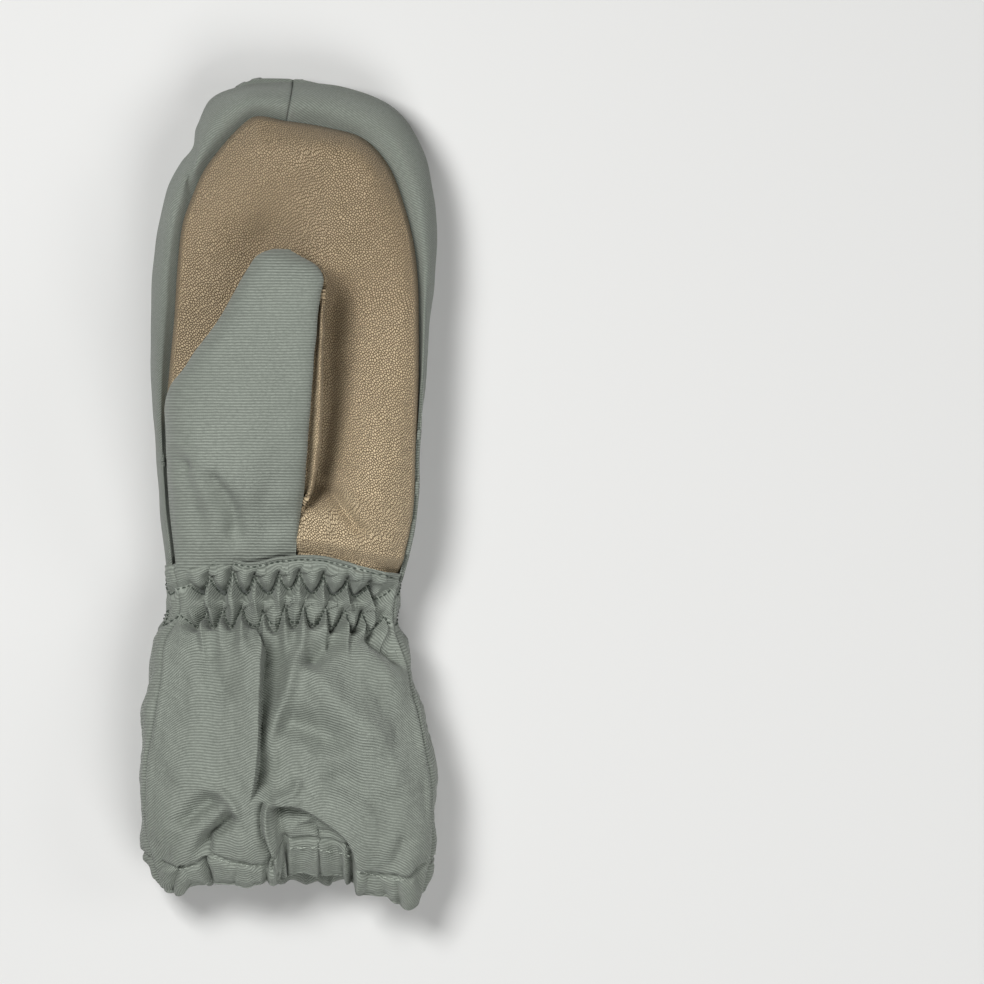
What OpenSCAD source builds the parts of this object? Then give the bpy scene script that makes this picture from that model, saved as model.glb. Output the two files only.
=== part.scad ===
// Padded child's ski mitten for the left hand, lying on its back with the palm up.
// +Y points to the fingertips, +Z out of the palm, and the thumb lies on the -X side of the palm.
// The origin is on the surface that it rests on, under the middle of its length and width.

/* [Hand] */
// Length of the hand, from the wrist seam to the fingertips
hand_len = 141; // [115:1:170]
// Width across the knuckles
hand_w = 83; // [70:1:100]
// Height of the padded hand
hand_h = 34; // [30:1:42]
// Length of the rounded fingertip end
tip_len = 50; // [40:1:60]
// Distance from the fingertips down to the top of the palm leather
palm_top_drop = 11; // [8:1:16]

/* [Wrist] */
// Width of the gathered wrist
wrist_w = 68; // [58:1:82]
// Height of the gathered wrist
wrist_h = 27; // [24:1:33]
// How far the wrist stands clear of the surface underneath
wrist_lift = 4; // [2:0.5:6]

/* [Cuff] */
// Length of the cuff, from the wrist seam to the hem
cuff_len = 99; // [80:1:125]
// Width of the cuff where it is fullest
cuff_w = 86.5; // [72:1:104]
// Height of the cuff where it is fullest
cuff_h = 38; // [34:1:46]
// Width of the gathered hem
hem_w = 76; // [62:1:90]
// Height of the gathered hem
hem_h = 27; // [24:1:32]
// How far the hem stands clear of the surface underneath
hem_lift = 5; // [3:0.5:7]

/* [Thumb] */
// Length of the free thumb, square to its root line
thumb_len = 62; // [50:1:74]
// Width of the thumb where it leaves the palm's edge
thumb_mid_w = 40; // [34:1:42]
// Width of the thumb where its rounded tip begins
thumb_tip_w = 25; // [20:1:30]
// Height of the padded thumb
thumb_h = 21; // [19:1:25]
// Distance from the wrist seam up to the outer end of the thumb's root
root_side_up = 34; // [30:1:41]
// Distance from the wrist seam up to the thumb's crotch
crotch_up = 25; // [22:1:29]
// Sideways place of the crotch, from the middle of the mitten
crotch_x = 6; // [3:1:9]
// How far the thumb lifts off the palm, as an angle
thumb_lift = 50; // [30:1:55]

/* [Layers] */
// Thickness of the woven shell fabric
fabric_t = 0.6; // [0.4:0.1:0.9]
// Thickness of the palm leather
leather_t = 0.9; // [0.7:0.1:1.2]
// Thickness of the wadding in the hand
wadding_t = 4; // [3:0.1:5]
// Thickness of the wadding in the thumb
thumb_wadding_t = 2.5; // [1.5:0.1:3]
// Thickness of the fleece lining
lining_t = 1.2; // [0.8:0.1:1.5]
// Free space between one layer and the next
layer_gap = 0.15; // [0.1:0.05:0.25]

/* [Elastics and thread] */
// Width of the wrist elastic
wrist_elastic_w = 12; // [9:1:15]
// Width of the hem elastic
hem_elastic_w = 6; // [5:1:8]
// Thickness of both elastics
elastic_t = 1; // [0.8:0.1:1.4]
// Distance from the wrist seam to the near edge of the wrist elastic
wrist_elastic_in = 6; // [5:1:9]
// Thickness of the sewing thread
thread_t = 0.35; // [0.25:0.05:0.45]
// Width of a row of stitches
thread_w = 0.5; // [0.3:0.1:0.8]

/* [Hidden] */

sage = [0.48, 0.53, 0.49];
tan_leather = [0.62, 0.53, 0.41];
wadding_white = [0.93, 0.93, 0.90];
fleece_grey = [0.40, 0.43, 0.41];
elastic_white = [0.88, 0.88, 0.86];
thread_green = [0.38, 0.43, 0.40];

// Clearances
run_gap = 0.4;    // between pieces that move past each other
seam_deg = 0.5;   // half of the gap between two panels sewn side by side, as an angle round the section
top_seam_deg = 0.1; // the same at the middle of the fingertips, where an angle spans further
bed_sink = 1.5;   // how much of the section's round underside is flattened by lying down

// Section shape
roundness = 2.6;  // exponent of the superellipse: 2 is an ellipse, and more is squarer
tip_power = 2.5;  // the same for the fingertip end, seen from above
tip_end = 0.03;   // what is left of the section's size at the very tip

// Places along Y
y_hem = -(hand_len + cuff_len) / 2;
y_wrist = y_hem + cuff_len;
y_tip = y_wrist + hand_len;
y_shoulder = y_tip - tip_len;
y_palm_top = y_tip - palm_top_drop;
y_axis = y_wrist - wrist_elastic_in - wrist_elastic_w / 2;

// Depths of the layers under the outer surface
shell_t = max(fabric_t, leather_t);
wadding_in = shell_t + layer_gap;
lining_in = wadding_in + wadding_t + layer_gap;
skin_in = lining_in + lining_t;
thumb_lining_in = wadding_in + thumb_wadding_t + layer_gap;
thumb_skin_in = thumb_lining_in + lining_t;
elastic_in = fabric_t + layer_gap;
cuff_lining_in = elastic_in + elastic_t + layer_gap;

// The cuff's header tucks inside the shell of the hand, so that it can turn there
tuck = shell_t + run_gap;
header_reach = norm([y_wrist - y_axis, wrist_h / 2 - tuck]);
y_layers = y_axis + header_reach + run_gap;

function power(c, e) = sign(c) * pow(abs(c), e);
function ease(u) = (1 - cos(180 * u)) / 2;
function mix(a, b, u) = a + (b - a) * u;

// Stations [y, middle x, half width, underside z, top z], in rising y, read with smooth steps between them
function section(stations, y) =
    let (last = len(stations) - 1)
    y <= stations[0][0] ? stations[0] : y >= stations[last][0] ? stations[last] :
    let (
        i = max([for (k = [0:last - 1]) if (stations[k][0] <= y) k]),
        u = ease((y - stations[i][0]) / (stations[i + 1][0] - stations[i][0]))
    )
    mix(stations[i], stations[i + 1], u);

// A point of the section: across it by angle a, and t under its outer surface. The underside is flat.
function round_point(y, mid, half_w, low, high, f, a, t) =
    let (
        centre = (low + high) / 2,
        half_h = (high - low) / 2 - t,
        s = power(sin(a), 2 / roundness),
        rise = s > 0 ? half_h * s : max((half_h + bed_sink) * s, -half_h)
    )
    [mid + (half_w - t) * f * power(cos(a), 2 / roundness), y, centre + rise * f];

/* ---- Hand ---- */

wrist_mid = -1.2;   // sideways place of the wrist's middle
knuckle_mid = 1.6;  // the same at the knuckles
palm_mid = -0.5;    // the same part of the way between them
knuckle_up = 78;    // distance from the wrist seam up to the knuckles
palm_up = 30;       // and up to the middle of the palm
palm_width_share = 0.55;   // how far the hand has widened towards the knuckles there
palm_height_share = 0.7;   // how far it has thickened
hand_stations = [
    [y_wrist, wrist_mid, wrist_w / 2, wrist_lift, wrist_lift + wrist_h],
    [y_wrist + palm_up, palm_mid, mix(wrist_w, hand_w, palm_width_share) / 2,
        0, mix(wrist_h + wrist_lift, hand_h, palm_height_share)],
    [y_wrist + knuckle_up, knuckle_mid, hand_w / 2, 0, hand_h]
];

function tip_size(y) =
    y <= y_shoulder ? 1 :
    max(tip_end, pow(max(0, 1 - pow((y - y_shoulder) / tip_len, tip_power)), 1 / tip_power));

// v runs from 0 at the wrist seam to 1 at the fingertips. Deeper layers end short of the tip by their depth.
function hand_point(v, a, t) =
    let (y = y_wrist + v * hand_len, s = section(hand_stations, y))
    round_point(y - v * t, s[1], s[2], s[3], s[4], tip_size(y), a, t);

// The angle of the section at which it is x from the middle of the mitten, on its palm side
function angle_at(x, v) =
    let (y = y_wrist + v * hand_len, s = section(hand_stations, y))
    acos(power((x - s[1]) / (s[2] * tip_size(y)), roundness / 2));

function v_of(y) = (y - y_wrist) / hand_len;

back_edge = 25;   // angle under the widest line at which the back panel meets the gussets
palm_edge = 36;   // angle over the widest line at which the palm leather meets the gussets
// The palm's round upper end: distance down from the top of the leather, and the angle of its edge there
palm_end = [[0, 89.4], [6, 59], [12, 50], [24, 41], [38, palm_edge]];
function palm_angle(v) = lookup(y_palm_top - y_wrist - v * hand_len, palm_end);

// The root line of the thumb, from its outer end on the palm's edge to the crotch
root_out = [hand_point(v_of(y_wrist + root_side_up), 180 - palm_edge, 0)[0], y_wrist + root_side_up];
crotch = [crotch_x, y_wrist + crotch_up];
root_vec = crotch - root_out;
root_half = norm(root_vec) / 2;
root_turn = atan2(root_vec[1], root_vec[0]);
root_mid = [(root_out[0] + crotch[0]) / 2, (root_out[1] + crotch[1]) / 2, hand_h + run_gap];
function root_x(y) = crotch[0] + (y - crotch[1]) * root_vec[0] / root_vec[1];

// The palm's edge on the thumb side follows the root line and then runs down to the wrist from the crotch
function palm_far_angle(v) =
    let (y = y_wrist + v * hand_len)
    y >= root_out[1] ? 180 - palm_angle(v) : angle_at(y <= crotch[1] ? crotch[0] : root_x(y), v);

// Rows of the hand's panels, closer together towards the fingertips
same_row = 0.0001;    // rows closer than this, as a share of the hand's length, are one
least_row = 0.004;    // no row comes closer than this to the top of the palm
v_inner = v_of(y_layers);
v_crotch = v_of(crotch[1]);
v_root = v_of(root_out[1]);
v_shoulder = v_of(y_shoulder);
v_palm = v_of(y_palm_top);
function steps(from, to, n) = [for (k = [0:n - 1]) mix(from, to, k / n)];
quarter_turn = 89.99; // just under 90 degrees, so that the last row keeps a size
tip_rows = [for (k = [0:9]) mix(v_shoulder, 1, sin(quarter_turn * k / 9))];
function rows_from(start) = concat(
    steps(start, v_crotch, 3), steps(v_crotch, v_root, 4), steps(v_root, v_shoulder, 3),
    [for (v = tip_rows) if (v < v_palm - least_row) v],
    v_palm,
    [for (v = tip_rows) if (v > v_palm + least_row) v]
);
function up_to(rows, end) = [for (v = rows) if (v <= end + same_row) v];

// Each span gives the first and last angle of a panel at v
little_span = function(v) [
    -back_edge + seam_deg,
    v > v_palm + same_row ? 90 - top_seam_deg : palm_angle(v) - seam_deg
];
thumb_span = function(v) [180 - little_span(v)[1], 180 + back_edge - seam_deg];
back_span = function(v) [180 + back_edge + seam_deg, 360 - back_edge - seam_deg];
palm_span = function(v) [palm_angle(v) + seam_deg, palm_far_angle(v) - seam_deg];
around_span = function(v) [180 - little_span(v)[1], 360 + little_span(v)[1]];

function hand_grid(rows, span, cols, t) =
    [for (v = rows) let (s = span(v)) [for (j = [0:cols]) hand_point(v, mix(s[0], s[1], j / cols), t)]];

/* ---- Solids from grids ---- */

// A closed solid between two grids of points, outer and inner. A ring joins its last column to its first.
module layer(outer, inner, ring = false) {
    rows = len(outer);
    cols = len(outer[0]);
    span = ring ? cols : cols - 1;
    n = rows * cols;
    function at(i, j, k) = k * n + i * cols + j % cols;
    function pair(a, b, c, d) = [[a, b, c], [a, c, d]];
    bands = [0:rows - 2];
    strips = [0:span - 1];
    end = rows - 1;
    edge = cols - 1;
    skin = [for (i = bands, j = strips,
        f = pair(at(i, j, 0), at(i, j + 1, 0), at(i + 1, j + 1, 0), at(i + 1, j, 0))) f];
    inside = [for (i = bands, j = strips,
        f = pair(at(i, j, 1), at(i + 1, j, 1), at(i + 1, j + 1, 1), at(i, j + 1, 1))) f];
    first = [for (j = strips, f = pair(at(0, j, 0), at(0, j, 1), at(0, j + 1, 1), at(0, j + 1, 0))) f];
    last = [for (j = strips,
        f = pair(at(end, j, 0), at(end, j + 1, 0), at(end, j + 1, 1), at(end, j, 1))) f];
    near = [for (i = bands, f = pair(at(i, 0, 0), at(i + 1, 0, 0), at(i + 1, 0, 1), at(i, 0, 1))) f];
    far = [for (i = bands,
        f = pair(at(i, edge, 0), at(i, edge, 1), at(i + 1, edge, 1), at(i + 1, edge, 0))) f];
    polyhedron(
        points = concat([for (r = outer) each r], [for (r = inner) each r]),
        faces = concat(skin, inside, first, last, ring ? [] : concat(near, far))
    );
}

module hand_layer(rows, span, cols, t_out, t_in) {
    layer(hand_grid(rows, span, cols, t_out), hand_grid(rows, span, cols, t_in));
}

// Merges the flat facets underneath into one face
module one_flat_face() {
    intersection() {
        children();
        translate([-hand_w, y_wrist - 1, -1]) cube([2 * hand_w, hand_len + 2, 3 * hand_h]);
    }
}

module back_panel() {
    color(sage) one_flat_face() hand_layer(rows_from(0), back_span, 8, 0, fabric_t);
}

module thumb_side_gusset() {
    color(sage) hand_layer(rows_from(0), thumb_span, 5, 0, fabric_t);
}

module little_side_gusset() {
    color(sage) hand_layer(rows_from(0), little_span, 5, 0, fabric_t);
}

module palm_panel() {
    color(tan_leather) hand_layer(up_to(rows_from(0), v_palm), palm_span, 8, 0, leather_t);
}

module back_wadding() {
    color(wadding_white) hand_layer(rows_from(v_inner), around_span, 14, wadding_in, wadding_in + wadding_t);
}

module palm_wadding() {
    rows = up_to(rows_from(v_inner), v_palm);
    color(wadding_white) hand_layer(rows, palm_span, 8, wadding_in, wadding_in + wadding_t);
}

module back_lining() {
    color(fleece_grey) hand_layer(rows_from(v_inner), around_span, 14, lining_in, skin_in);
}

module palm_lining() {
    color(fleece_grey) hand_layer(up_to(rows_from(v_inner), v_palm), palm_span, 8, lining_in, skin_in);
}

/* ---- Thumb: the fold between its root, which stays with the hand, and its free part ---- */

fold_gap = 0.8;              // radial gap between the free thumb's heel and the root that covers it
fold_up = thumb_h / 2;       // height of the fold's axis over the palm
fold_r = fold_up + fold_gap + fabric_t;   // outer radius of the root where it covers the heel
rim_back = fold_r * sin(thumb_lift + 1);  // how far the root's rim lies behind the root line
rim_up = fold_up + fold_r * cos(thumb_lift + 1);
inner_back = fold_r + run_gap - rim_back; // how much further back the root's inner layers end

// The arch across the root: u runs from 0 at the crotch to 1 at the palm's edge
function arch(u) = pow(max(0, 1 - pow(abs(cos(180 * u)), roundness)), 1 / roundness);
function root_end(u) =
    let (x = mix(crotch[0], root_out[0], ease(u)))
    v_of(crotch[1] + (x - crotch[0]) * root_vec[1] / root_vec[0] - rim_back * arch(u) / cos(root_turn));

function root_point(u, v, t) =
    let (
        a = mix(angle_at(crotch[0], v) + seam_deg, 180 - palm_edge - seam_deg, ease(u)),
        p = hand_point(v, a, t),
        level = hand_h + run_gap - hand_point(v, 90, 0)[2]
    )
    [p[0], p[1], p[2] + (rim_up + level) * arch(u) * ease(v / root_end(u))];

module root_layer(start, shorter, t_out, t_in) {
    function grid(t) = [for (i = [0:7]) [for (j = [0:13]) let (u = j / 13)
        root_point(u, mix(start, root_end(u) - shorter / hand_len, i / 7), t)]];
    layer(grid(t_out), grid(t_in));
}

module thumb_root_panel() {
    color(sage) root_layer(0, 0, 0, fabric_t);
}

module thumb_root_wadding() {
    color(wadding_white) root_layer(v_inner, inner_back, wadding_in, wadding_in + wadding_t);
}

module thumb_root_lining() {
    color(fleece_grey) root_layer(v_inner, inner_back, lining_in, skin_in);
}

/* ---- Free thumb, drawn with its root line along X and lying on z = 0 ---- */

thumb_tip_len = 15;      // length of the rounded end
thumb_leather_edge = 25; // angle over the widest line at which the thumb's leather ends beside the palm
thumb_side_gap = 3.6;    // how much narrower the heel is than the root at each end
// Along the thumb, as shares of its length: its half width, and how far its middle leans to the palm's side
mid_share = 0.34;
tip_share = 1 - thumb_tip_len / thumb_len;
thumb_halves = [[0, root_half - thumb_side_gap], [mid_share, thumb_mid_w / 2], [tip_share, thumb_tip_w / 2],
    [1, thumb_tip_w / 2]];
mid_lean = -3.5;
tip_lean = 1.4;
thumb_middles = [[0, 0], [mid_share, mid_lean], [tip_share, tip_lean], [1, tip_lean]];

// w runs from 0 at the root line to 1 at the tip
function thumb_point(w, a, t) =
    let (
        y = w * thumb_len,
        u = max(0, (y - thumb_len + thumb_tip_len) / thumb_tip_len),
        f = max(tip_end, pow(max(0, 1 - pow(u, tip_power)), 1 / tip_power))
    )
    round_point(y - w * t, lookup(w, thumb_middles), lookup(w, thumb_halves), 0, thumb_h, f, a, t);

// The upper half of the open end curls back round the fold's axis, as a heel that slides under the root
function heel_point(turn, a, t) =
    let (p = thumb_point(0, a, t), up = p[2] - fold_up)
    up > 0 ? [p[0], -up * sin(turn), fold_up + up * cos(turn)] : p;

heel_turns = steps(thumb_lift, 0, 4);
thumb_rows = concat(steps(0, tip_share, 6), [for (k = [0:6]) mix(tip_share, 1, sin(quarter_turn * k / 6))]);

module thumb_layer(from, to, cols, t_out, t_in, ring = false) {
    function cut(j) = mix(from, to, j / cols);
    function grid(t) = concat(
        [for (turn = heel_turns) [for (j = [0:cols]) heel_point(turn, cut(j), t)]],
        [for (w = thumb_rows) [for (j = [0:cols]) thumb_point(w, cut(j), t)]]
    );
    translate(root_mid) rotate(root_turn) layer(grid(t_out), grid(t_in), ring);
}

module thumb_outer_panel() {
    color(sage) thumb_layer(thumb_leather_edge + seam_deg, 180 - seam_deg, 10, 0, fabric_t);
}

module thumb_leather_panel() {
    color(tan_leather) thumb_layer(180 + seam_deg, 360 + thumb_leather_edge - seam_deg, 12, 0, leather_t);
}

module thumb_outer_wadding() {
    color(wadding_white) thumb_layer(thumb_leather_edge + seam_deg, 180 - seam_deg, 10,
        wadding_in, wadding_in + thumb_wadding_t);
}

module thumb_palm_wadding() {
    color(wadding_white) thumb_layer(180 + seam_deg, 360 + thumb_leather_edge - seam_deg, 12,
        wadding_in, wadding_in + thumb_wadding_t);
}

module thumb_lining() {
    color(fleece_grey) thumb_layer(0, 345, 23, thumb_lining_in, thumb_skin_in, ring = true);
}

/* ---- Cuff ---- */

y_gather_end = y_wrist - wrist_elastic_in - wrist_elastic_w;
y_full = y_hem + 32;       // where the cuff is fullest
y_hem_turn = y_hem + 14;   // where the hem casing begins
cuff_side = 22;            // angle over the widest line at which the cuff's two panels meet

cuff_side_lift = 1;        // how far the cuff's sloping ends stand clear of the surface underneath
shoulder_share = 0.75;     // how far up from its fullest place to the gathers the cuff's shoulder is
hem_share = 0.85;          // how nearly the cuff has its full width where the hem casing begins
neck_share = 0.55;         // how far the cuff has narrowed towards the wrist at its shoulder

cuff_stations = [
    [y_hem, 0, hem_w / 2, hem_lift, hem_lift + hem_h],
    [y_hem_turn, 0, mix(hem_w, cuff_w, hem_share) / 2,
        cuff_side_lift, mix(hem_h + hem_lift, cuff_h, hem_share)],
    [y_full, 0, cuff_w / 2, 0, cuff_h],
    [mix(y_full, y_gather_end, shoulder_share), wrist_mid * neck_share, mix(cuff_w, wrist_w, neck_share) / 2,
        cuff_side_lift, mix(cuff_h, wrist_h + wrist_lift, neck_share)],
    [y_gather_end, wrist_mid, wrist_w / 2 - tuck, wrist_lift + tuck, wrist_lift + wrist_h - tuck],
    [y_wrist, wrist_mid, wrist_w / 2 - tuck, wrist_lift + tuck, wrist_lift + wrist_h - tuck]
];

function cuff_point(y, a, t) =
    let (s = section(cuff_stations, y))
    round_point(y, s[1], s[2], s[3], s[4], 1, a, t);

function evenly(from, to, n) = [for (k = [0:n]) mix(from, to, k / n)];

// Every layer of the cuff has the same rows and columns, so that none cuts the corner of another
hem_elastic_in = 2;
hem_rows = evenly(y_hem + hem_elastic_in, y_hem + hem_elastic_in + hem_elastic_w, 3);
wrist_rows = evenly(y_gather_end, y_gather_end + wrist_elastic_w, 3);
body_rows = evenly(hem_rows[3], y_gather_end, 12);
cuff_rows = concat([y_hem], hem_rows, [for (k = [1:11]) body_rows[k]], wrist_rows, [y_wrist - run_gap]);
palm_cuts = evenly(cuff_side + seam_deg, 180 - cuff_side - seam_deg, 9);
back_cuts = evenly(180 - cuff_side + seam_deg, 360 + cuff_side - seam_deg, 14);
all_cuts = concat(palm_cuts, back_cuts);

module cuff_layer(rows, cuts, t_out, t_in, ring = false) {
    function grid(t) = [for (y = rows) [for (a = cuts) cuff_point(y, a, t)]];
    layer(grid(t_out), grid(t_in), ring);
}

module cuff_palm_panel() {
    color(sage) cuff_layer(cuff_rows, palm_cuts, 0, fabric_t);
}

module cuff_back_panel() {
    color(sage) cuff_layer(cuff_rows, back_cuts, 0, fabric_t);
}

module cuff_palm_lining() {
    color(fleece_grey) cuff_layer(cuff_rows, palm_cuts, cuff_lining_in, cuff_lining_in + lining_t);
}

module cuff_back_lining() {
    color(fleece_grey) cuff_layer(cuff_rows, back_cuts, cuff_lining_in, cuff_lining_in + lining_t);
}

// An elastic lies between the cuff's shell and its lining
module elastic(rows) {
    color(elastic_white) cuff_layer(rows, all_cuts, elastic_in, elastic_in + elastic_t, ring = true);
}

module wrist_elastic() {
    elastic(wrist_rows);
}

module hem_elastic() {
    elastic(hem_rows);
}

zigzag_in = 2;       // distance of each zigzag row from its edge of the wrist elastic
wrist_seam_in = 2;   // distance of the topstitching from the edge of the cuff's header
zigzag_apart = wrist_elastic_w - 2 * zigzag_in;   // between the two rows through the wrist elastic

// A row of stitches lies on the outside of the cuff
module stitch_row(y) {
    color(thread_green) cuff_layer([y - thread_w / 2, y + thread_w / 2], all_cuts,
        -thread_t - layer_gap, -layer_gap, ring = true);
}

module wrist_seam_thread() {
    stitch_row(y_wrist - run_gap - wrist_seam_in);
}

module wrist_upper_thread() {
    stitch_row(y_axis + zigzag_apart / 2);
}

module wrist_lower_thread() {
    stitch_row(y_axis - zigzag_apart / 2);
}

module hem_thread() {
    stitch_row(y_hem + hem_elastic_in + hem_elastic_w + thread_w);
}

back_panel();
thumb_side_gusset();
little_side_gusset();
palm_panel();
back_wadding();
palm_wadding();
back_lining();
palm_lining();
thumb_root_panel();
thumb_root_wadding();
thumb_root_lining();
thumb_outer_panel();
thumb_leather_panel();
thumb_outer_wadding();
thumb_palm_wadding();
thumb_lining();
cuff_palm_panel();
cuff_back_panel();
cuff_palm_lining();
cuff_back_lining();
wrist_elastic();
hem_elastic();
wrist_seam_thread();
wrist_upper_thread();
wrist_lower_thread();
hem_thread();
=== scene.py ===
"""A child's padded ski mitten for the left hand, lying on its back with the palm up.

Shapes are worked out in millimetres on grids of points, and become meshes in metres.
"""
import math

import bpy
import numpy as np
from mathutils.kdtree import KDTree
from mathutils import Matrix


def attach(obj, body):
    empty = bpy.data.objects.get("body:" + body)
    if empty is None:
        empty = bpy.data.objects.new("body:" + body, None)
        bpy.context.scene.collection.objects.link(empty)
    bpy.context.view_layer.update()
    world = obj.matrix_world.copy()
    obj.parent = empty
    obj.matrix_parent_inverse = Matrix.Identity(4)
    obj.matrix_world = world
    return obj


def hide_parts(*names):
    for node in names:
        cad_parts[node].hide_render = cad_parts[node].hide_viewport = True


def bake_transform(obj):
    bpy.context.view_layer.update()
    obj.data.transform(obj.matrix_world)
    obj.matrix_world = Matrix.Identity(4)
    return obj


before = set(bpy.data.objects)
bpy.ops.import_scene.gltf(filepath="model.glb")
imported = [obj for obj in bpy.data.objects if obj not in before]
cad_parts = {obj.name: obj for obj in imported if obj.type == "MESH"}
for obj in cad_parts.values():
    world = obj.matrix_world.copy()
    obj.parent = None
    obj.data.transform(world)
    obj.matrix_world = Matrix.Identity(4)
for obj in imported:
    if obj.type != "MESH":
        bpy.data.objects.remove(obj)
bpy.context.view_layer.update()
MM = 0.001
SHELL_THICK, LEATHER_THICK, CUFF_THICK, LINING_THICK = 0.6, 0.9, 0.5, 0.8


# ------------------------------------------------------------------ curves


def hermite(knots, values, t):
    """Smooth values at t that pass through the given values at the given knots."""
    knots, values = np.asarray(knots, float), np.asarray(values, float)
    single = values.ndim == 1
    if single:
        values = values[:, None]
    t = np.asarray(t, float)
    shape, t = t.shape, np.clip(t.ravel(), knots[0], knots[-1])
    gap = np.diff(knots)[:, None]
    slope = np.diff(values, axis=0) / gap
    middle = (slope[:-1] * gap[1:] + slope[1:] * gap[:-1]) / (gap[1:] + gap[:-1])
    bend = np.vstack([slope[:1], middle, slope[-1:]])
    i = np.clip(np.searchsorted(knots, t, side="right") - 1, 0, len(gap) - 1)
    h = gap[i]
    u = (t - knots[i])[:, None] / h
    out = (
        (2 * u**3 - 3 * u**2 + 1) * values[i]
        + (u**3 - 2 * u**2 + u) * h * bend[i]
        + (3 * u**2 - 2 * u**3) * values[i + 1]
        + (u**3 - u**2) * h * bend[i + 1]
    )
    return out.reshape(shape) if single else out.reshape(shape + (-1,))


def line_at(points, where):
    """The first coordinate of a line of (value, place) points, at the given places."""
    points = np.array(sorted(points, key=lambda p: p[1]), float)
    return hermite(points[:, 1], points[:, 0], where)


def lengths(points):
    """How far along a line of points each one is, from 0 to 1."""
    steps = np.linalg.norm(np.diff(np.asarray(points, float), axis=0), axis=1)
    along = np.concatenate([[0], np.cumsum(steps)])
    return along / along[-1]


def smooth_path(points, count):
    """That many evenly spaced points on a smooth line through the given ones."""
    points = np.asarray(points, float)
    dense = hermite(lengths(points), points, np.linspace(0, 1, 12 * len(points)))
    along = lengths(dense)
    t = np.linspace(0, 1, count)
    return np.stack([np.interp(t, along, dense[:, k]) for k in range(dense.shape[1])], 1)


def ease(a, b, x):
    """0 up to a, 1 from b on, and smooth between them."""
    t = np.clip((np.asarray(x, float) - a) / (b - a), 0, 1)
    return t * t * (3 - 2 * t)


def bell(d, width):
    """1 where d is 0, fading out smoothly over about the width."""
    return np.exp(-((np.asarray(d) / width) ** 2))


def near(x, y, line):
    """Distance to a line of points, positive on the left of its direction, and the place along it."""
    line = np.asarray(line, float)
    best = np.full(x.shape, 1e9)
    side = np.ones(x.shape)
    place = np.zeros(x.shape)
    marks = lengths(line)
    for k in range(len(line) - 1):
        ax, ay = line[k]
        dx, dy = line[k + 1] - line[k]
        size = dx * dx + dy * dy
        t = np.clip(((x - ax) * dx + (y - ay) * dy) / size, 0, 1)
        px, py = x - ax - t * dx, y - ay - t * dy
        d = px * px + py * py
        closer = d < best
        best = np.where(closer, d, best)
        side = np.where(closer, np.sign(dx * py - dy * px), side)
        place = np.where(closer, marks[k] + t * (marks[k + 1] - marks[k]), place)
    return np.sqrt(best) * np.where(side == 0, 1, side), place


FOLD_POINTS = 26  # on each smooth fold line


def fold(x, y, points, depth, width, lift=0.0, lift_width=None, fade=0.3):
    """Push along a soft fold line: a valley of that depth, with lift on the left of its direction."""
    d, along = near(x, y, smooth_path(points, FOLD_POINTS))
    window = ease(0, fade, along) * ease(0, fade, 1 - along)
    push = -depth * bell(d, width)
    if lift:
        far = lift_width or 3 * width
        push = push + lift * ease(-0.4 * width, 0.8 * width, d) * bell(np.maximum(d, 0), far)
    return push * window


def waves(x, y, size, seed, count=8):
    """Soft random waves about that size across, mostly between -1 and 1."""
    rng = np.random.default_rng(seed)
    total = np.zeros(np.shape(x))
    for _ in range(count):
        turn, pace, start = rng.uniform(0, 2 * np.pi), rng.uniform(0.6, 1.5), rng.uniform(0, 6.3)
        total += np.sin((x * np.cos(turn) + y * np.sin(turn)) * 2 * np.pi * pace / size + start)
    return total / math.sqrt(count)


def folds(x, y, lines):
    """The pushes of several fold lines together, each given as its points, depth, width and options."""
    return sum(fold(x, y, points, *sizes, **options) for points, *sizes, options in lines)


def blur(values, reach, axis):
    """Values averaged over about that many neighbours."""
    offsets = np.arange(-2 * reach, 2 * reach + 1)
    weights = np.exp(-((offsets / reach) ** 2))
    pad = [(0, 0), (0, 0)]
    pad[axis] = (2 * reach, 2 * reach)
    wide = np.pad(values, pad, mode="edge")
    kernel = weights / weights.sum()
    return np.apply_along_axis(lambda row: np.convolve(row, kernel, "valid"), axis, wide)


# ------------------------------------------------------------------ meshes


def outward(grid):
    """Unit normals of a grid of points, as rows cross columns."""
    along = np.gradient(grid, axis=0)
    across = np.gradient(grid, axis=1)
    normal = np.cross(across, along)
    return normal / np.maximum(np.linalg.norm(normal, axis=2, keepdims=True), 1e-9)


def distance_along(grid, axis):
    """How far each point of a grid is from the first one of its own column (axis 0) or row (axis 1)."""
    steps = np.linalg.norm(np.diff(grid, axis=axis), axis=2)
    start = np.zeros_like(steps.take([0], axis))
    return np.concatenate([start, np.cumsum(steps, axis)], axis)


def grid_faces(rows, cols, flip=False):
    """Quads of a grid of points, as corner numbers."""
    first = (np.arange(rows - 1)[:, None] * cols + np.arange(cols - 1)[None, :]).ravel()
    quads = np.stack([first, first + 1, first + cols + 1, first + cols], 1)
    return quads[:, ::-1] if flip else quads


def placed(name, data):
    """A new object in the scene, for a mesh, a light or a camera."""
    made = bpy.data.objects.new(name, data)
    bpy.context.scene.collection.objects.link(made)
    return made


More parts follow.
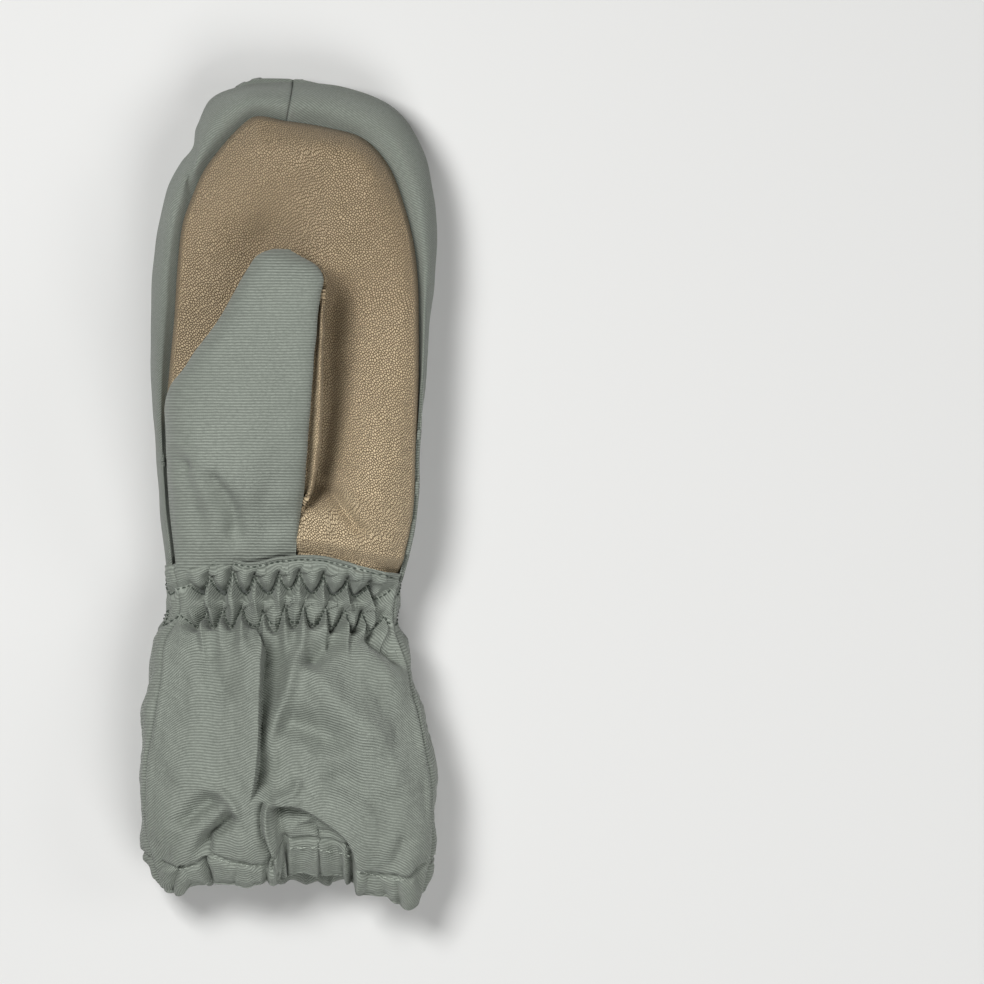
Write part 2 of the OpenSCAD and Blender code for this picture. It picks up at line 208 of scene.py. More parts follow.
def make(name, points, faces, finish, weave=None, thick=0.0):
    """A mesh piece, from points in millimetres. A thick piece grows inwards from its faces."""
    mesh = bpy.data.meshes.new(name)
    mesh.from_pydata((np.asarray(points).reshape(-1, 3) * MM).tolist(), [], faces.tolist())
    if weave is not None:
        layer = mesh.uv_layers.new(name="weave")
        corner = np.empty(len(mesh.loops), int)
        mesh.loops.foreach_get("vertex_index", corner)
        layer.data.foreach_set("uv", weave.reshape(-1, 2)[corner].astype(np.float32).ravel())
    mesh.polygons.foreach_set("use_smooth", np.ones(len(mesh.polygons), bool))
    mesh.materials.append(finish)
    piece = placed(name, mesh)
    if thick:
        cloth = piece.modifiers.new("cloth thickness", "SOLIDIFY")
        cloth.thickness, cloth.offset = thick * MM, -1
    return piece


def grid_piece(name, grid, finish, weave, thick=0.0, flip=False):
    rows, cols = grid.shape[:2]
    return make(name, grid, grid_faces(rows, cols, flip), finish, weave, thick)


def patch(left, right, bottom, top, rows, cols, crowd=0.6):
    """Plan points of a four-sided patch, which crowd together towards its edges."""

    def crowded(count):
        t = np.linspace(0, 1, count)
        return t - crowd * np.sin(2 * np.pi * t) / (2 * np.pi)

    def on(line, at):
        line = np.asarray(line, float)
        return hermite(lengths(line), line, at)

    u, v = crowded(cols), crowded(rows)
    lo, hi = on(bottom, u)[None], on(top, u)[None]
    le, ri = on(left, v)[:, None], on(right, v)[:, None]
    u, v = u[None, :, None], v[:, None, None]
    corners = (
        (1 - u) * (1 - v) * lo[:, :1] + u * (1 - v) * lo[:, -1:]
        + (1 - u) * v * hi[:, :1] + u * v * hi[:, -1:]
    )
    return (1 - v) * lo + v * hi + (1 - u) * le + u * ri - corners


def with_height(plan, z):
    return np.concatenate([plan, z[..., None]], 2)


# ------------------------------------------------------------------ finishes


class Wire:
    """A shader socket that can be used in sums."""

    def __init__(self, paint, socket):
        self.paint, self.socket = paint, socket

    def _sum(self, operation, first, second):
        return self.paint.node("ShaderNodeMath", {"operation": operation}, {0: first, 1: second})

    def __add__(self, other):
        return self._sum("ADD", self, other)

    __radd__ = __add__

    def __sub__(self, other):
        return self._sum("SUBTRACT", self, other)

    def __rsub__(self, other):
        return self._sum("SUBTRACT", other, self)

    def __mul__(self, other):
        return self._sum("MULTIPLY", self, other)

    __rmul__ = __mul__

    def __pow__(self, other):
        return self._sum("POWER", self, other)


class Paint:
    """A material, and the way its nodes are added."""

    def __init__(self, name, roughness, sheen=0.0, specular=0.5):
        self.material = bpy.data.materials.new(name)
        self.material.use_nodes = True
        self.tree = self.material.node_tree
        self.shader = self.tree.nodes["Principled BSDF"]
        self.shader.inputs["Roughness"].default_value = roughness
        self.shader.inputs["Sheen Weight"].default_value = sheen
        self.shader.inputs["Sheen Roughness"].default_value = 0.5
        self.shader.inputs["Specular IOR Level"].default_value = specular

    def feed(self, socket, value):
        if isinstance(value, Wire):
            self.tree.links.new(value.socket, socket)
        else:
            socket.default_value = value

    def node(self, kind, settings=None, sockets=None, out=0):
        made = self.tree.nodes.new(kind)
        for name, value in (settings or {}).items():
            setattr(made, name, value)
        for name, value in (sockets or {}).items():
            self.feed(made.inputs[name], value)
        return Wire(self, made.outputs[out])

    def weave(self):
        """The cloth's own coordinates in millimetres, as (vector, across, along)."""
        flat = self.node("ShaderNodeUVMap", {"uv_map": "weave"})
        return flat, self.part(flat, 0), self.part(flat, 1)

    def part(self, vector, which):
        return self.node("ShaderNodeSeparateXYZ", None, {0: vector}, which)

    def join(self, x, y, z=0.0):
        return self.node("ShaderNodeCombineXYZ", None, {0: x, 1: y, 2: z})

    def noise(self, vector, scale, detail=2.0, rough=0.5, out=0):
        return self.node(
            "ShaderNodeTexNoise", None,
            {"Vector": vector, "Scale": scale, "Detail": detail, "Roughness": rough}, out,
        )

    def wave(self, value, pitch):
        """A sine of the value in millimetres, from 0 to 1, that repeats at the pitch."""
        turn = self.node("ShaderNodeMath", {"operation": "SINE"}, {0: value * (2 * math.pi / pitch)})
        return turn * 0.5 + 0.5

    def span(self, value, low, high):
        """0 up to low, 1 from high on, and smooth between them."""
        smooth = {"interpolation_type": "SMOOTHSTEP"}
        return self.node("ShaderNodeMapRange", smooth, {0: value, 1: low, 2: high})

    def mix(self, factor, first, second):
        """Two colours mixed. The numbers are the sockets that the node keeps for colours."""
        return self.node("ShaderNodeMix", {"data_type": "RGBA"}, {0: factor, 6: first, 7: second}, 2)

    def set(self, name, value):
        self.feed(self.shader.inputs[name], value)

    def bump(self, height, distance, strength=1.0):
        """Raise the surface by the height, from 0 to 1, times a distance in metres."""
        sockets = {"Strength": strength, "Distance": distance, "Height": height}
        self.set("Normal", self.node("ShaderNodeBump", None, sockets))


def tint(base, *factors):
    """A colour for a socket: the base colour times one factor, or one for each of red, green and blue."""
    factors = factors * 3 if len(factors) == 1 else factors
    return (*[c * f for c, f in zip(base, factors)], 1.0)


def ribbed_fabric(name, base, pitch, slant=0.0, contrast=0.62):
    """A plain ribbed weave: rounded ribs with fine threads over them and darker grooves between.

    The pitch is the distance between ribs in millimetres, and the slant turns them.
    """
    paint = Paint(name, 0.62, sheen=0.12, specular=0.25)
    flat, across, along = paint.weave()
    if slant:
        across, along = (
            across * math.cos(slant) + along * math.sin(slant),
            along * math.cos(slant) - across * math.sin(slant),
        )
    drift = paint.noise(flat, 0.09, 2.0)
    wander = paint.noise(flat, 1.4, 1.0)
    along = along + (drift - 0.5) * 0.5 + (wander - 0.5) * 0.14
    rib = paint.wave(along, pitch)
    thread = paint.wave(across + (wander - 0.5) * 0.3, THREAD_PITCH)
    uneven = paint.noise(paint.join(across * 0.9, along * 2.2), 1.0, 2.0)
    groove = 1 - paint.span(rib, 0.12, 0.72)
    height = rib ** 0.7 + thread * 0.16 + uneven * 0.3
    paint.bump(height, 0.00022, 0.9)
    patchy = paint.noise(flat, 0.045, 3.0)
    body = paint.mix(paint.span(patchy, 0.3, 0.7), tint(base, 0.99), tint(base, 1.1))
    worn = paint.mix(paint.span(uneven, 0.35, 0.75), body, tint(base, 0.78))
    paint.set("Base Color", paint.mix(groove * contrast + thread * 0.1, worn, tint(base, 0.52)))
    paint.set("Roughness", 0.56 + uneven * 0.16)
    return paint.material


def pebbled_leather(name, base):
    """Synthetic leather: a fine even grain of small light pebbles with dark creases between them."""
    paint = Paint(name, 0.5, sheen=0.08, specular=0.16)
    flat, across, along = paint.weave()
    swirl = paint.node(
        "ShaderNodeVectorMath", {"operation": "SCALE"}, {0: paint.noise(flat, 0.25, 2.0, out=1), 3: 1.1}
    )
    # the pebbles are a little longer one way than the other, on a slant
    turned = paint.join((across * 0.8 + along * 0.6) * 1.15, (along * 0.8 - across * 0.6) * 0.85)
    bent = paint.node("ShaderNodeVectorMath", {"operation": "ADD"}, {0: turned, 1: swirl})
    inward = paint.node(
        "ShaderNodeTexVoronoi", {"voronoi_dimensions": "2D", "feature": "DISTANCE_TO_EDGE"},
        {"Vector": bent, "Scale": PEBBLES_PER_MM, "Randomness": 0.8},
    )
    pebble = paint.span(inward, 0.04, 0.22)
    crease = 1 - pebble
    paint.bump(pebble, 0.00028)
    patchy = paint.noise(flat, 0.035, 3.0)
    body = paint.mix(paint.span(patchy, 0.3, 0.7), tint(base, 0.96, 0.95, 0.94), tint(base, 1.05))
    # painted shade: the leather is made a little darker towards the fingertips, in place of shading there
    painted_tip_shade = paint.span(along + (patchy - 0.5) * 60, 0, 85)
    body = paint.mix(painted_tip_shade, body, tint(base, 0.72, 0.70, 0.68))
    paint.set("Base Color", paint.mix(crease * 0.95, body, tint(base, 0.18, 0.155, 0.12)))
    paint.set("Roughness", 0.55 + crease * 0.2)
    return paint.material


def brushed_fleece(name, base):
    """A dull short nap."""
    paint = Paint(name, 0.9, sheen=0.3, specular=0.1)
    nap = paint.noise(paint.weave()[0], 1.3, 4.0, 0.65)
    paint.bump(nap, 0.0006, 0.7)
    paint.set("Base Color", paint.mix(nap, tint(base, 0.7), tint(base, 1.2)))
    return paint.material


def twisted_thread(name, base):
    """Sewing thread, with its twist as slanting bands."""
    paint = Paint(name, 0.55, specular=0.3)
    _, across, along = paint.weave()
    twist = paint.wave(across + along * 0.8, TWIST_PITCH)
    paint.bump(twist, 0.00006, 0.6)
    paint.set("Base Color", paint.mix(twist, tint(base, 0.65), tint(base, 1.2)))
    return paint.material


SAGE = (0.265, 0.292, 0.252)
TAN = (0.6, 0.479, 0.309)
FLEECE_GREY = (0.10, 0.11, 0.10)
THREAD = (0.06, 0.075, 0.06)
PALE_THREAD = (0.42, 0.46, 0.4)
FLOOR_GREY = (0.66, 0.66, 0.65)

# Spacings in millimetres. The gussets' ribs run on a slant and look finer.
RIB_PITCH, THREAD_PITCH, TWIST_PITCH = 0.85, 0.45, 0.5
LEFT_RIB_PITCH, LEFT_SLANT = 0.6, math.radians(36)
RIGHT_RIB_PITCH, RIGHT_SLANT = 0.62, math.radians(-34)
GUSSET_CONTRAST = 0.8
PEBBLES_PER_MM = 1.42

shell = ribbed_fabric("sage ribbed shell", SAGE, RIB_PITCH)
left_gusset_cloth = ribbed_fabric(
    "sage gusset, thumb side", SAGE, LEFT_RIB_PITCH, LEFT_SLANT, GUSSET_CONTRAST
)
right_gusset_cloth = ribbed_fabric(
    "sage gusset, little finger side", SAGE, RIGHT_RIB_PITCH, RIGHT_SLANT, GUSSET_CONTRAST
)
leather = pebbled_leather("tan pebbled leather", TAN)
fleece = brushed_fleece("grey fleece lining", FLEECE_GREY)
thread = twisted_thread("dark green thread", THREAD)
pale_thread = twisted_thread("pale green thread", PALE_THREAD)


# ------------------------------------------------------------------ hand

# Palm seam x, y and widest edge x, y, from the wrist on the little finger's side round the tips
OUTLINE = np.array([
    (32.2, -25.5, 32.6, -25.0), (36.3, -8.0, 36.5, -7.5), (37.4, 15.0, 38.0, 15.7),
    (38.0, 33.0, 40.0, 33.0), (38.0, 50.5, 41.3, 51.0), (37.7, 62.0, 42.6, 63.0),
    (36.5, 72.5, 43.2, 74.0), (33.9, 83.0, 42.4, 86.0), (29.3, 95.0, 39.5, 98.5),
    (22.9, 102.4, 33.3, 109.8), (12.0, 106.2, 16.5, 118.0), (-0.3, 108.2, 1.5, 119.0),
    (-10.4, 109.2, -14.0, 118.2), (-15.2, 105.2, -22.4, 114.4), (-19.7, 100.2, -26.4, 107.0),
    (-24.0, 94.4, -29.2, 99.5), (-28.1, 85.5, -35.2, 88.5), (-30.5, 78.5, -37.4, 78.0),
    (-32.0, 66.5, -39.1, 66.0), (-32.9, 52.0, -39.7, 51.0), (-34.4, 36.0, -39.7, 36.0),
    (-35.2, 26.0, -39.2, 26.0), (-35.0, 10.0, -38.0, 10.0), (-34.0, -5.0, -37.1, -5.0),
    (-31.6, -24.5, -34.9, -24.5),
])
OUTLINE_MARKS = (lengths(OUTLINE[:, :2]) + lengths(OUTLINE[:, 2:])) / 2
MIDDLE_SEAM = OUTLINE_MARKS[11]
# The sides of the hand's panels end a little before the two corners at the fingertips
RIGHT_END, LEFT_END = OUTLINE_MARKS[9] - 0.004, OUTLINE_MARKS[13] + 0.006
HAND_ROUND = 330  # length of the outline, near enough for noise and the middle seam's groove
WRIST_SEAM = [
    (-36.0, -20.6), (-32.2, -20.3), (-24.7, -19.4), (-15.7, -19.1), (-12.2, -19.9), (-2.0, -18.3),
    (9.3, -18.0), (19.1, -20.3), (25.2, -21.8), (32.8, -23.5), (36.0, -24.0),
]


def wrist_seam_y(x):
    return line_at([(y, across) for across, y in WRIST_SEAM], np.clip(x, -36, 36))


def edge_lines(s):
    """Palm seam, widest edge and outward direction at places s round the hand, with their heights."""
    both = hermite(OUTLINE_MARKS, OUTLINE, s)
    seam, wide = both[..., :2], both[..., 2:]
    step = hermite(OUTLINE_MARKS, OUTLINE, np.clip(s + 0.004, 0, 1))[..., 2:] - hermite(
        OUTLINE_MARKS, OUTLINE, np.clip(s - 0.004, 0, 1)
    )[..., 2:]
    step /= np.linalg.norm(step, axis=-1, keepdims=True)
    out = np.stack([step[..., 1], -step[..., 0]], -1)
    tip = ease(85, 115, wide[..., 1])
    wrist = ease(5, -20, wide[..., 1])
    high = 27 - 2.5 * tip - 1.0 * wrist - 3.5 * ease(-17, -23, wide[..., 1])
    mid = 15 - 3 * tip + 2 * wrist
    low = 5.5 + 3.2 * tip + 2.0 * wrist + 2.0 * ease(-16, -23, wide[..., 1])
    inset = 2.5 - 3.7 * ease(23, 4, np.abs(wide[..., 0] + 3)) * tip
    return seam, wide, out, high, mid, low, inset


def back_edge(s):
    """The back panel's seam at places s round the hand, and its heights."""
    _, wide, out, _, _, low, inset = edge_lines(s)
    return wide - out * inset[..., None], low


def side_lines(edge):
    """A seam round the hand as a panel's right side, top and left side."""
    return (
        edge(np.linspace(0, RIGHT_END, 60))[0],
        edge(np.linspace(LEFT_END, RIGHT_END, 40))[0],
        edge(np.linspace(1, LEFT_END, 60))[0],
    )


PALM_CROWN = np.array([  # y, height
    (-30, 31.0), (-20, 32.4), (0, 34.4), (30, 33.6), (60, 32.8), (78, 32.8), (92, 34.4),
    (104, 35.8), (112, 35.6),
])
# Where the thumb presses into the palm
THUMB_HOLLOW = [(6, -7), (9.0, 6), (10.9, 20), (11.4, 40), (11.4, 55), (10.2, 68)]
PALM_FOLDS = [
    ([(9.5, 5.5), (17, -5), (23.5, -13.5)], 2.6, 2.2, {"lift": 1.4, "fade": 0.2}),
    ([(12, 8), (20, 2), (29, -8)], 1.1, 3.0, {}),
    ([(23, 88), (28, 50), (26, 15)], 1.0, 6.5, {}),
    ([(-26, 76), (-12, 89), (4, 98), (20, 97)], -1.3, 6.0, {}),
    ([(-24, 58), (-9, 74), (8, 83), (24, 84)], 1.6, 7.0, {}),
]


def palm_height(x, y):
    """The padded palm's crown, before its edges turn down."""
    crown = hermite(PALM_CROWN[:, 0], PALM_CROWN[:, 1], y)
    crown = crown + 1.4 * waves(x, y, 38, 3) * ease(-15, 10, y) + 0.3 * waves(x, y, 14, 5)
    d, along = near(x, y, smooth_path(THUMB_HOLLOW, FOLD_POINTS))
    hollow = -9.8 * np.where(d < 0, np.exp(-np.abs(d) / 3.4) * (1 + np.abs(d) / 3.4), bell(d, 11))
    crown = crown + hollow * ease(0, 0.16, along) * ease(0, 0.2, 1 - along)
    crown = crown + folds(x, y, PALM_FOLDS)
    # lower under the thumb's root, and a soft mound beside it at the heel
    crown = crown - 6.0 * ease(3.6, -1.5, x) * ease(-2, -10, y)
    crown = crown - 4.5 * ease(6.0, 1.5, x - 0.12 * y) * ease(30, 10, y) * ease(-10, -2, y)
    return crown + 1.6 * bell(x - 24, 13) * ease(12, -6, y)


def kept_grain(plan, grid):
    """Weave places that keep the grain's size down the hollow and the turned edges."""
    weave = plan.copy()
    for axis in (0, 1):
        extra = distance_along(grid, axis) - distance_along(plan, axis)
        weave[..., 1 - axis] += extra - extra.take([extra.shape[axis] // 2], axis)
    return weave


def palm_panel():
    """The padded leather palm, with its edges turned down into the seam."""
    seam, _, _, high, _, _, _ = edge_lines(np.linspace(0, 1, 240))
    right, top, left = side_lines(edge_lines)
    left[:, 0] += 1.6 * ease(21, 11, left[:, 1])
    bottom = smooth_path([left[0], (-15, -21.0), (-2, -20.0), (9, -19.6), (20, -22), right[0]], 30)
    plan = patch(left, right, bottom, top, 330, 230)
    x, y = plan[..., 0], plan[..., 1]
    d, along = near(x, y, seam)
    d = np.abs(d)
    edge = np.interp(along, lengths(seam), high)
    reach = (13 + 15 * ease(12, -12, x)) * (1 - 0.4 * ease(70, 95, y))
    puff = 1 - (1 - np.clip(d / reach, 0, 1)) ** 2.4
    z = edge + (palm_height(x, y) - edge) * puff
    # the sewn edge turns down, with a soft roll and a groove beside it
    z = z + 0.9 * bell(d, 5) - 3.6 * np.exp(-((d / 0.55) ** 1.5)) - 0.25 * bell(d - 2.4, 1.2)
    z = z + 0.12 * waves(x, y, 7, 9) * bell(d, 6)
    z = z - 4.2 * ease(5.0, 0.2, y - wrist_seam_y(x))
    grid = with_height(plan, z)
    return grid_piece("palm_leather_panel", grid, leather, kept_grain(plan, grid), LEATHER_THICK)


GUSSET_MARKS = [0, 0.07, 0.24, 0.46, 0.66, 0.84, 0.95, 1]
GUSSET_FOLDS = [([(-26.6, 106.5), (-27.8, 102.7), (-28.6, 94), (-28.4, 85)], 1.2, 1.3, {"lift": -0.6})]


def gusset(name, start, end, cloth, columns=420):
    """A side strip between places start and end, from the palm's seam round to the back's."""
    s = np.linspace(start, end, columns)
    seam, wide, out, high, mid, low, inset = edge_lines(s)
    reach = wide - seam
    full = 0.2 * waves(s * HAND_ROUND, s * 0, 60, 12) * ease(0.02, 0.08, np.minimum(s, 1 - s))

    def at(plan, z):
        return np.concatenate([plan, z[:, None]], 1).ravel()

    stations = [
        at(seam - out * 1.3, high - 4.1),
        at(seam + out * 0.05, high - 3.2),
        at(seam + reach * 0.42 + out * 0.1, mid + (high - mid) * 0.94),
        at(seam + reach * 0.85 + out * 0.1, mid + (high - mid) * 0.58),
        at(wide + out * full[:, None] * 0.4, mid),
        at(wide - out * inset[:, None] * 0.3, low + (mid - low) * 0.4),
        at(wide - out * inset[:, None], low + 0.3),
        at(wide - out * (inset[:, None] + 1.6), low - 0.6),
    ]
    rows = 46
    t = np.linspace(0, 1, rows)
    grid = hermite(GUSSET_MARKS, np.array(stations), t).reshape(rows, -1, 3)
    # both gussets dip where they meet at the middle of the fingertips
    apart = np.abs(s - MIDDLE_SEAM) * HAND_ROUND
    x, y = grid[..., 0], grid[..., 1]
    push = np.broadcast_to(-0.55 * np.exp(-apart / 0.4)[None], x.shape).copy()
    push += folds(x, y, GUSSET_FOLDS)
    push += 0.12 * waves(s[None] * HAND_ROUND + 0 * x, t[:, None] * 30 + 0 * x, 16, 14)
    inner = ease(0, 0.12, t)[:, None] * ease(0, 0.1, 1 - t)[:, None]
    grid = grid + outward(grid) * -(push * inner)[..., None]
    weave = seam[None] + out[None] * distance_along(grid, 0)[..., None]
    return grid_piece(name, grid, cloth, weave, SHELL_THICK, flip=True)


def back_panel():
    """The back of the hand, which the mitten lies on."""
    edge, low = back_edge(np.linspace(0, 1, 90))
    right, top, left = side_lines(back_edge)
    plan = patch(left, right, [left[0], (0, -24), right[0]], top, 150, 130, crowd=0.85)
    x, y = plan[..., 0], plan[..., 1]
    d, along = near(x, y, edge)
    d = np.abs(d)
    rim = np.interp(along, lengths(edge), low)
    round_off = np.sqrt(np.clip(1 - (1 - np.clip(d / 12, 0, 1)) ** 2, 0, 1))
    lift = 3.6 * ease(4, -20, y) + 2.6 * ease(-17, -22, y)
    z = rim + (lift - rim) * round_off + 0.12 * (1 + waves(x, y, 30, 8)) * ease(6, 16, d)
    grid = with_height(plan, np.maximum(z, 0))
    return grid_piece("back_shell", grid, shell, plan, SHELL_THICK, flip=True)


# ------------------------------------------------------------------ thumb

# Left x, y and right x, y of the thumb's outer fabric, then the heights of left edge, right edge
# and crown, how far the leather shows beyond the right edge, and the height of its underside
THUMB_ROWS = np.array([
    (-32.3, -22.5, 2.2, -20.5, 23.5, 28.6, 28.4, -1.0, 26.0),
    (-33.3, -14.0, 2.7, -13.0, 26.0, 31.8, 36.0, -1.0, 30.0),
    (-34.2, -6.0, 3.6, -6.4, 27.0, 34.0, 41.0, -1.0, 31.0),
    (-34.8, 2.0, 4.7, 0.5, 27.5, 37.0, 46.8, 2.2, 32.0),
    (-35.2, 10.2, 5.4, 10.5, 28.0, 40.3, 50.2, 3.6, 33.2),
    (-35.5, 19.0, 6.1, 19.5, 29.0, 43.5, 52.4, 3.5, 34.6),
    (-35.7, 26.1, 6.7, 26.7, 31.0, 45.5, 53.4, 3.3, 34.8),
    (-34.2, 31.0, 7.1, 33.0, 34.5, 46.5, 53.8, 3.0, 34.8),
    (-30.2, 36.3, 7.5, 39.0, 37.0, 47.0, 54.0, 2.7, 34.8),
    (-24.6, 44.3, 7.9, 46.0, 38.5, 47.0, 54.0, 2.4, 34.8),
    (-19.7, 51.3, 8.6, 53.0, 39.5, 47.0, 53.8, 1.8, 34.8),
    (-16.0, 57.8, 9.3, 58.5, 40.0, 46.5, 53.2, 1.1, 34.8),
    (-12.6, 63.9, 10.1, 62.6, 40.5, 46.0, 51.8, 0.0, 35.2),
    (-9.3, 68.6, 8.6, 65.6, 41.0, 45.0, 49.6, -1.2, 36.2),
    (-5.0, 70.9, 5.5, 67.9, 42.0, 44.0, 46.6, -1.6, 38.5),
    (0.0, 71.0, 0.6, 70.8, 43.0, 43.2, 43.4, -0.8, 42.2),
])
THUMB_MARKS = (lengths(THUMB_ROWS[:, :2]) + lengths(THUMB_ROWS[:, 2:4])) / 2
THUMB_FOLDS = [
    ([(-25.5, 8), (-21, 1), (-16.4, -6.4), (-15.1, -17.7)], 3.4, 2.7, {"lift": -0.8, "fade": 0.25}),
    ([(-33, 16), (-29.5, 3), (-26.5, -8), (-26, -17)], 1.6, 2.6, {}),
    ([(-3, 10), (-6, -4), (-4, -17)], 1.2, 3.5, {}),
    ([(-36, 10.5), (-33.5, 9.4), (-29, 5.5)], 1.8, 2.4, {"fade": 0.35}),
]


def thumb_fabric():
    """The thumb's outer side, one piece from the wrist seam to the tip."""
    rows, cols = 300, 190
    v = np.linspace(0, 1, rows) ** 0.93
    row = hermite(THUMB_MARKS, THUMB_ROWS, v)[:, None, :]
    t = np.linspace(0, 1, cols)[None, :]
    a = (1 - np.cos(np.pi * t)) / 2
    left, right = row[..., 0:2], row[..., 2:4]
    plan = left + (right - left) * a[..., None]
    edge = row[..., 4] + (row[..., 5] - row[..., 4]) * a
    arch = np.sin(np.pi * t) ** 0.62
    z = edge + (row[..., 6] - edge) * arch
    grid = with_height(plan, z)
    x, y = grid[..., 0], grid[..., 1]
    push = folds(x, y, THUMB_FOLDS) + 0.5 * waves(x, y, 30, 21) + 0.15 * waves(x, y, 11, 22)
    inner = ease(0, 0.05, t) * ease(0, 0.05, 1 - t) * ease(0, 0.03, 1 - v)[:, None]
    grid = grid + outward(grid) * (push * inner)[..., None]
    # the seam allowances turn in under both edges
    tuck = np.array((0.9, 0, -1.2))
    root = ease(32, 20, grid[:, :1, 1:2])
    first = grid[:, :1] + tuck + root * np.array((0.2, 0, -3.6))
    last = grid[:, -1:] + tuck * (-1, 1, 1) * ease(0, 0.08, 1 - v)[:, None, None]
    grid = np.concatenate([first, grid, last], 1)
    weave = np.stack([grid[..., 0] + 0.5 * np.abs(grid[..., 2] - 54), grid[..., 1]], 2)
    return grid_piece("thumb_outer_fabric", grid, shell, weave, SHELL_THICK)


STRIP_MARKS = [0, 0.05, 0.1, 0.19, 0.32, 0.44, 0.58, 0.76, 0.93, 1]


def thumb_leather():
    """The thumb's side towards the palm. A strip of it shows beyond the fabric's right edge."""
    rows, cols = 200, 120
    v = np.linspace(THUMB_MARKS[2] + 0.012, 1, rows)
    row = hermite(THUMB_MARKS, THUMB_ROWS, v)
    lx, ly, rx, ry, lz, rz, _, out, under = row.T
    # its lower end closes in under the fabric's edge
    root = ease(0.05, 0, v - v[0])
    out = out - (out + 1.5) * root
    under = under + (rz - 2.5 - under) * 0.8 * root
    end = ease(0.9, 1, v)
    ly, ry, rz, lz = ly - 2.4 * end, ry - 2.4 * end, rz - 0.8 * end, lz - 0.8 * end
    span = np.clip((rx - lx) / 26, 0.02, 1)
    small = ease(0, 0.1, 1 - v)

    def at(x, y, z):
        return np.stack([x, y, z], 1).ravel()

    stations = [
        at(rx - 1.6 * small, ry, rz - 1.6 * small),
        at(rx + 0.1, ry, rz - 2.2 * small),
        at(rx + out * 0.62, ry, rz + 0.3 * small),
        at(rx + out, ry, rz - 2.0 * small),
        at(rx + out * 0.9 - 0.4, ry, under + (rz - under) * 0.35),
        at(rx - 3 * span, ry, under + 0.2 * small),
        at(rx * 0.6 + lx * 0.4, ry * 0.6 + ly * 0.4, under),
        at(lx + 7 * span, ly, under + 0.1 * small),
        at(lx + 1.9 * span, ly, under + (lz - under) * 0.45),
        at(lx + 1.4 * span, ly, lz - 0.6 - 1.4 * ease(34, 24, ly)),
    ]
    t = np.linspace(0, 1, cols)
    grid = hermite(STRIP_MARKS, np.array(stations), t)
    grid = grid.reshape(cols, rows, 3).transpose(1, 0, 2)
    x, y = grid[..., 0], grid[..., 1]
    loose = 0.15 * waves(y, x, 9, 31) * ease(0, 0.1, t) * ease(0, 0.1, 1 - t)
    grid = grid + outward(grid) * loose[..., None]
    weave = np.stack([distance_along(grid, 1), y], 2)
    return grid_piece("thumb_palm_side_leather", grid, leather, weave, LEATHER_THICK)


# ------------------------------------------------------------------ cuff

CUFF_SIDES = [  # y, leftmost x, rightmost x
    (-16, -35.0, 34.0), (-24.9, -35.5, 32.7), (-30.7, -35.1, 32.5), (-36.5, -36.5, 31.9),
    (-42.3, -38.6, 34.8), (-48.1, -39.2, 35.7), (-53.9, -40.0, 36.8), (-59.7, -40.9, 38.6),
    (-65.5, -41.8, 40.3), (-71.3, -42.3, 41.8), (-77.1, -42.9, 42.6), (-88.7, -43.1, 42.9),
    (-100.3, -43.0, 42.9), (-106.1, -42.0, 42.6), (-111.9, -39.5, 41.2), (-117.7, -34.0, 38.5),
]
CUFF_HEIGHTS = [  # y, top, bottom
    (-16, 32.0, 3.8), (-22, 31.6, 4.0), (-27, 30.6, 4.4), (-35, 30.6, 4.2), (-42, 33.2, 2.2),
    (-52, 36.3, 0.9), (-62, 37.6, 0.5), (-80, 38.0, 0.4), (-94, 37.6, 0.4), (-103, 35.4, 1.2),
    (-109, 30.8, 3.0), (-115, 24.0, 5.6), (-121, 19.0, 8.0),
]
LEFT_SEAM = [
    (-33.4, -19), (-32.2, -25), (-31.9, -36.2), (-34.5, -40.3), (-36.8, -54.5), (-39.4, -72.5),
    (-40.6, -81.2), (-41.2, -95), (-40.8, -105), (-37.8, -113), (-36, -118),
]
RIGHT_SEAM = [
    (33.6, -19), (31.4, -25), (30.5, -34), (34.6, -46), (37.0, -57.1), (39.7, -72.5),
    (41.2, -82.4), (41.6, -95), (41.5, -105), (39.8, -112), (37.6, -118),
]
HEM_EDGE = [
    (-43, -105.5), (-41.8, -106.7), (-38.3, -111.7), (-35.1, -115.1), (-30.7, -115.7),
    (-27.6, -113.1), (-22.0, -113.4), (-16.8, -112.8), (-12.5, -113.2), (-7.3, -112.5),
    (-3.0, -113.6), (1.5, -113.1), (4.4, -111.1), (8.5, -112.6), (12.8, -112.5), (16.0, -114.6),
    (20.0, -115.1), (24.0, -115.2), (27.6, -116.3), (31.5, -119.0), (33.9, -119.8),
    (37.1, -118.6), (39.4, -115.1), (41.8, -111.7), (43, -108),
]
HEM_STITCHES = [
    [(-32.2, -109), (-29, -108.4), (-25.8, -107.3)],
    [(-22, -105.6), (-16.8, -107), (-11, -107.8), (-6.7, -107.9)],
    [(-0.3, -102.7), (5.8, -102.4), (9.9, -103.2), (18.6, -105.3)],
    [(19.7, -109), (23.5, -110.2), (29.9, -111.7), (35.4, -112.2)],
]
UPPER_ZIGZAG = [
    (-32.3, -27.6), (-29.2, -26.6), (-25.6, -29.3), (-23.4, -24.4), (-18.9, -29.4), (-16.5, -22.9),
    (-12.5, -29.4), (-9.7, -24.4), (-5.4, -29.2), (-2.6, -24.0), (0.4, -28.0), (3.4, -23.4),
    (7.3, -29.0), (10.5, -24.0), (13.7, -29.6), (17.7, -25.4), (20.4, -30.0), (24.4, -26.4),
    (26.6, -30.6), (30.4, -27.8),
]
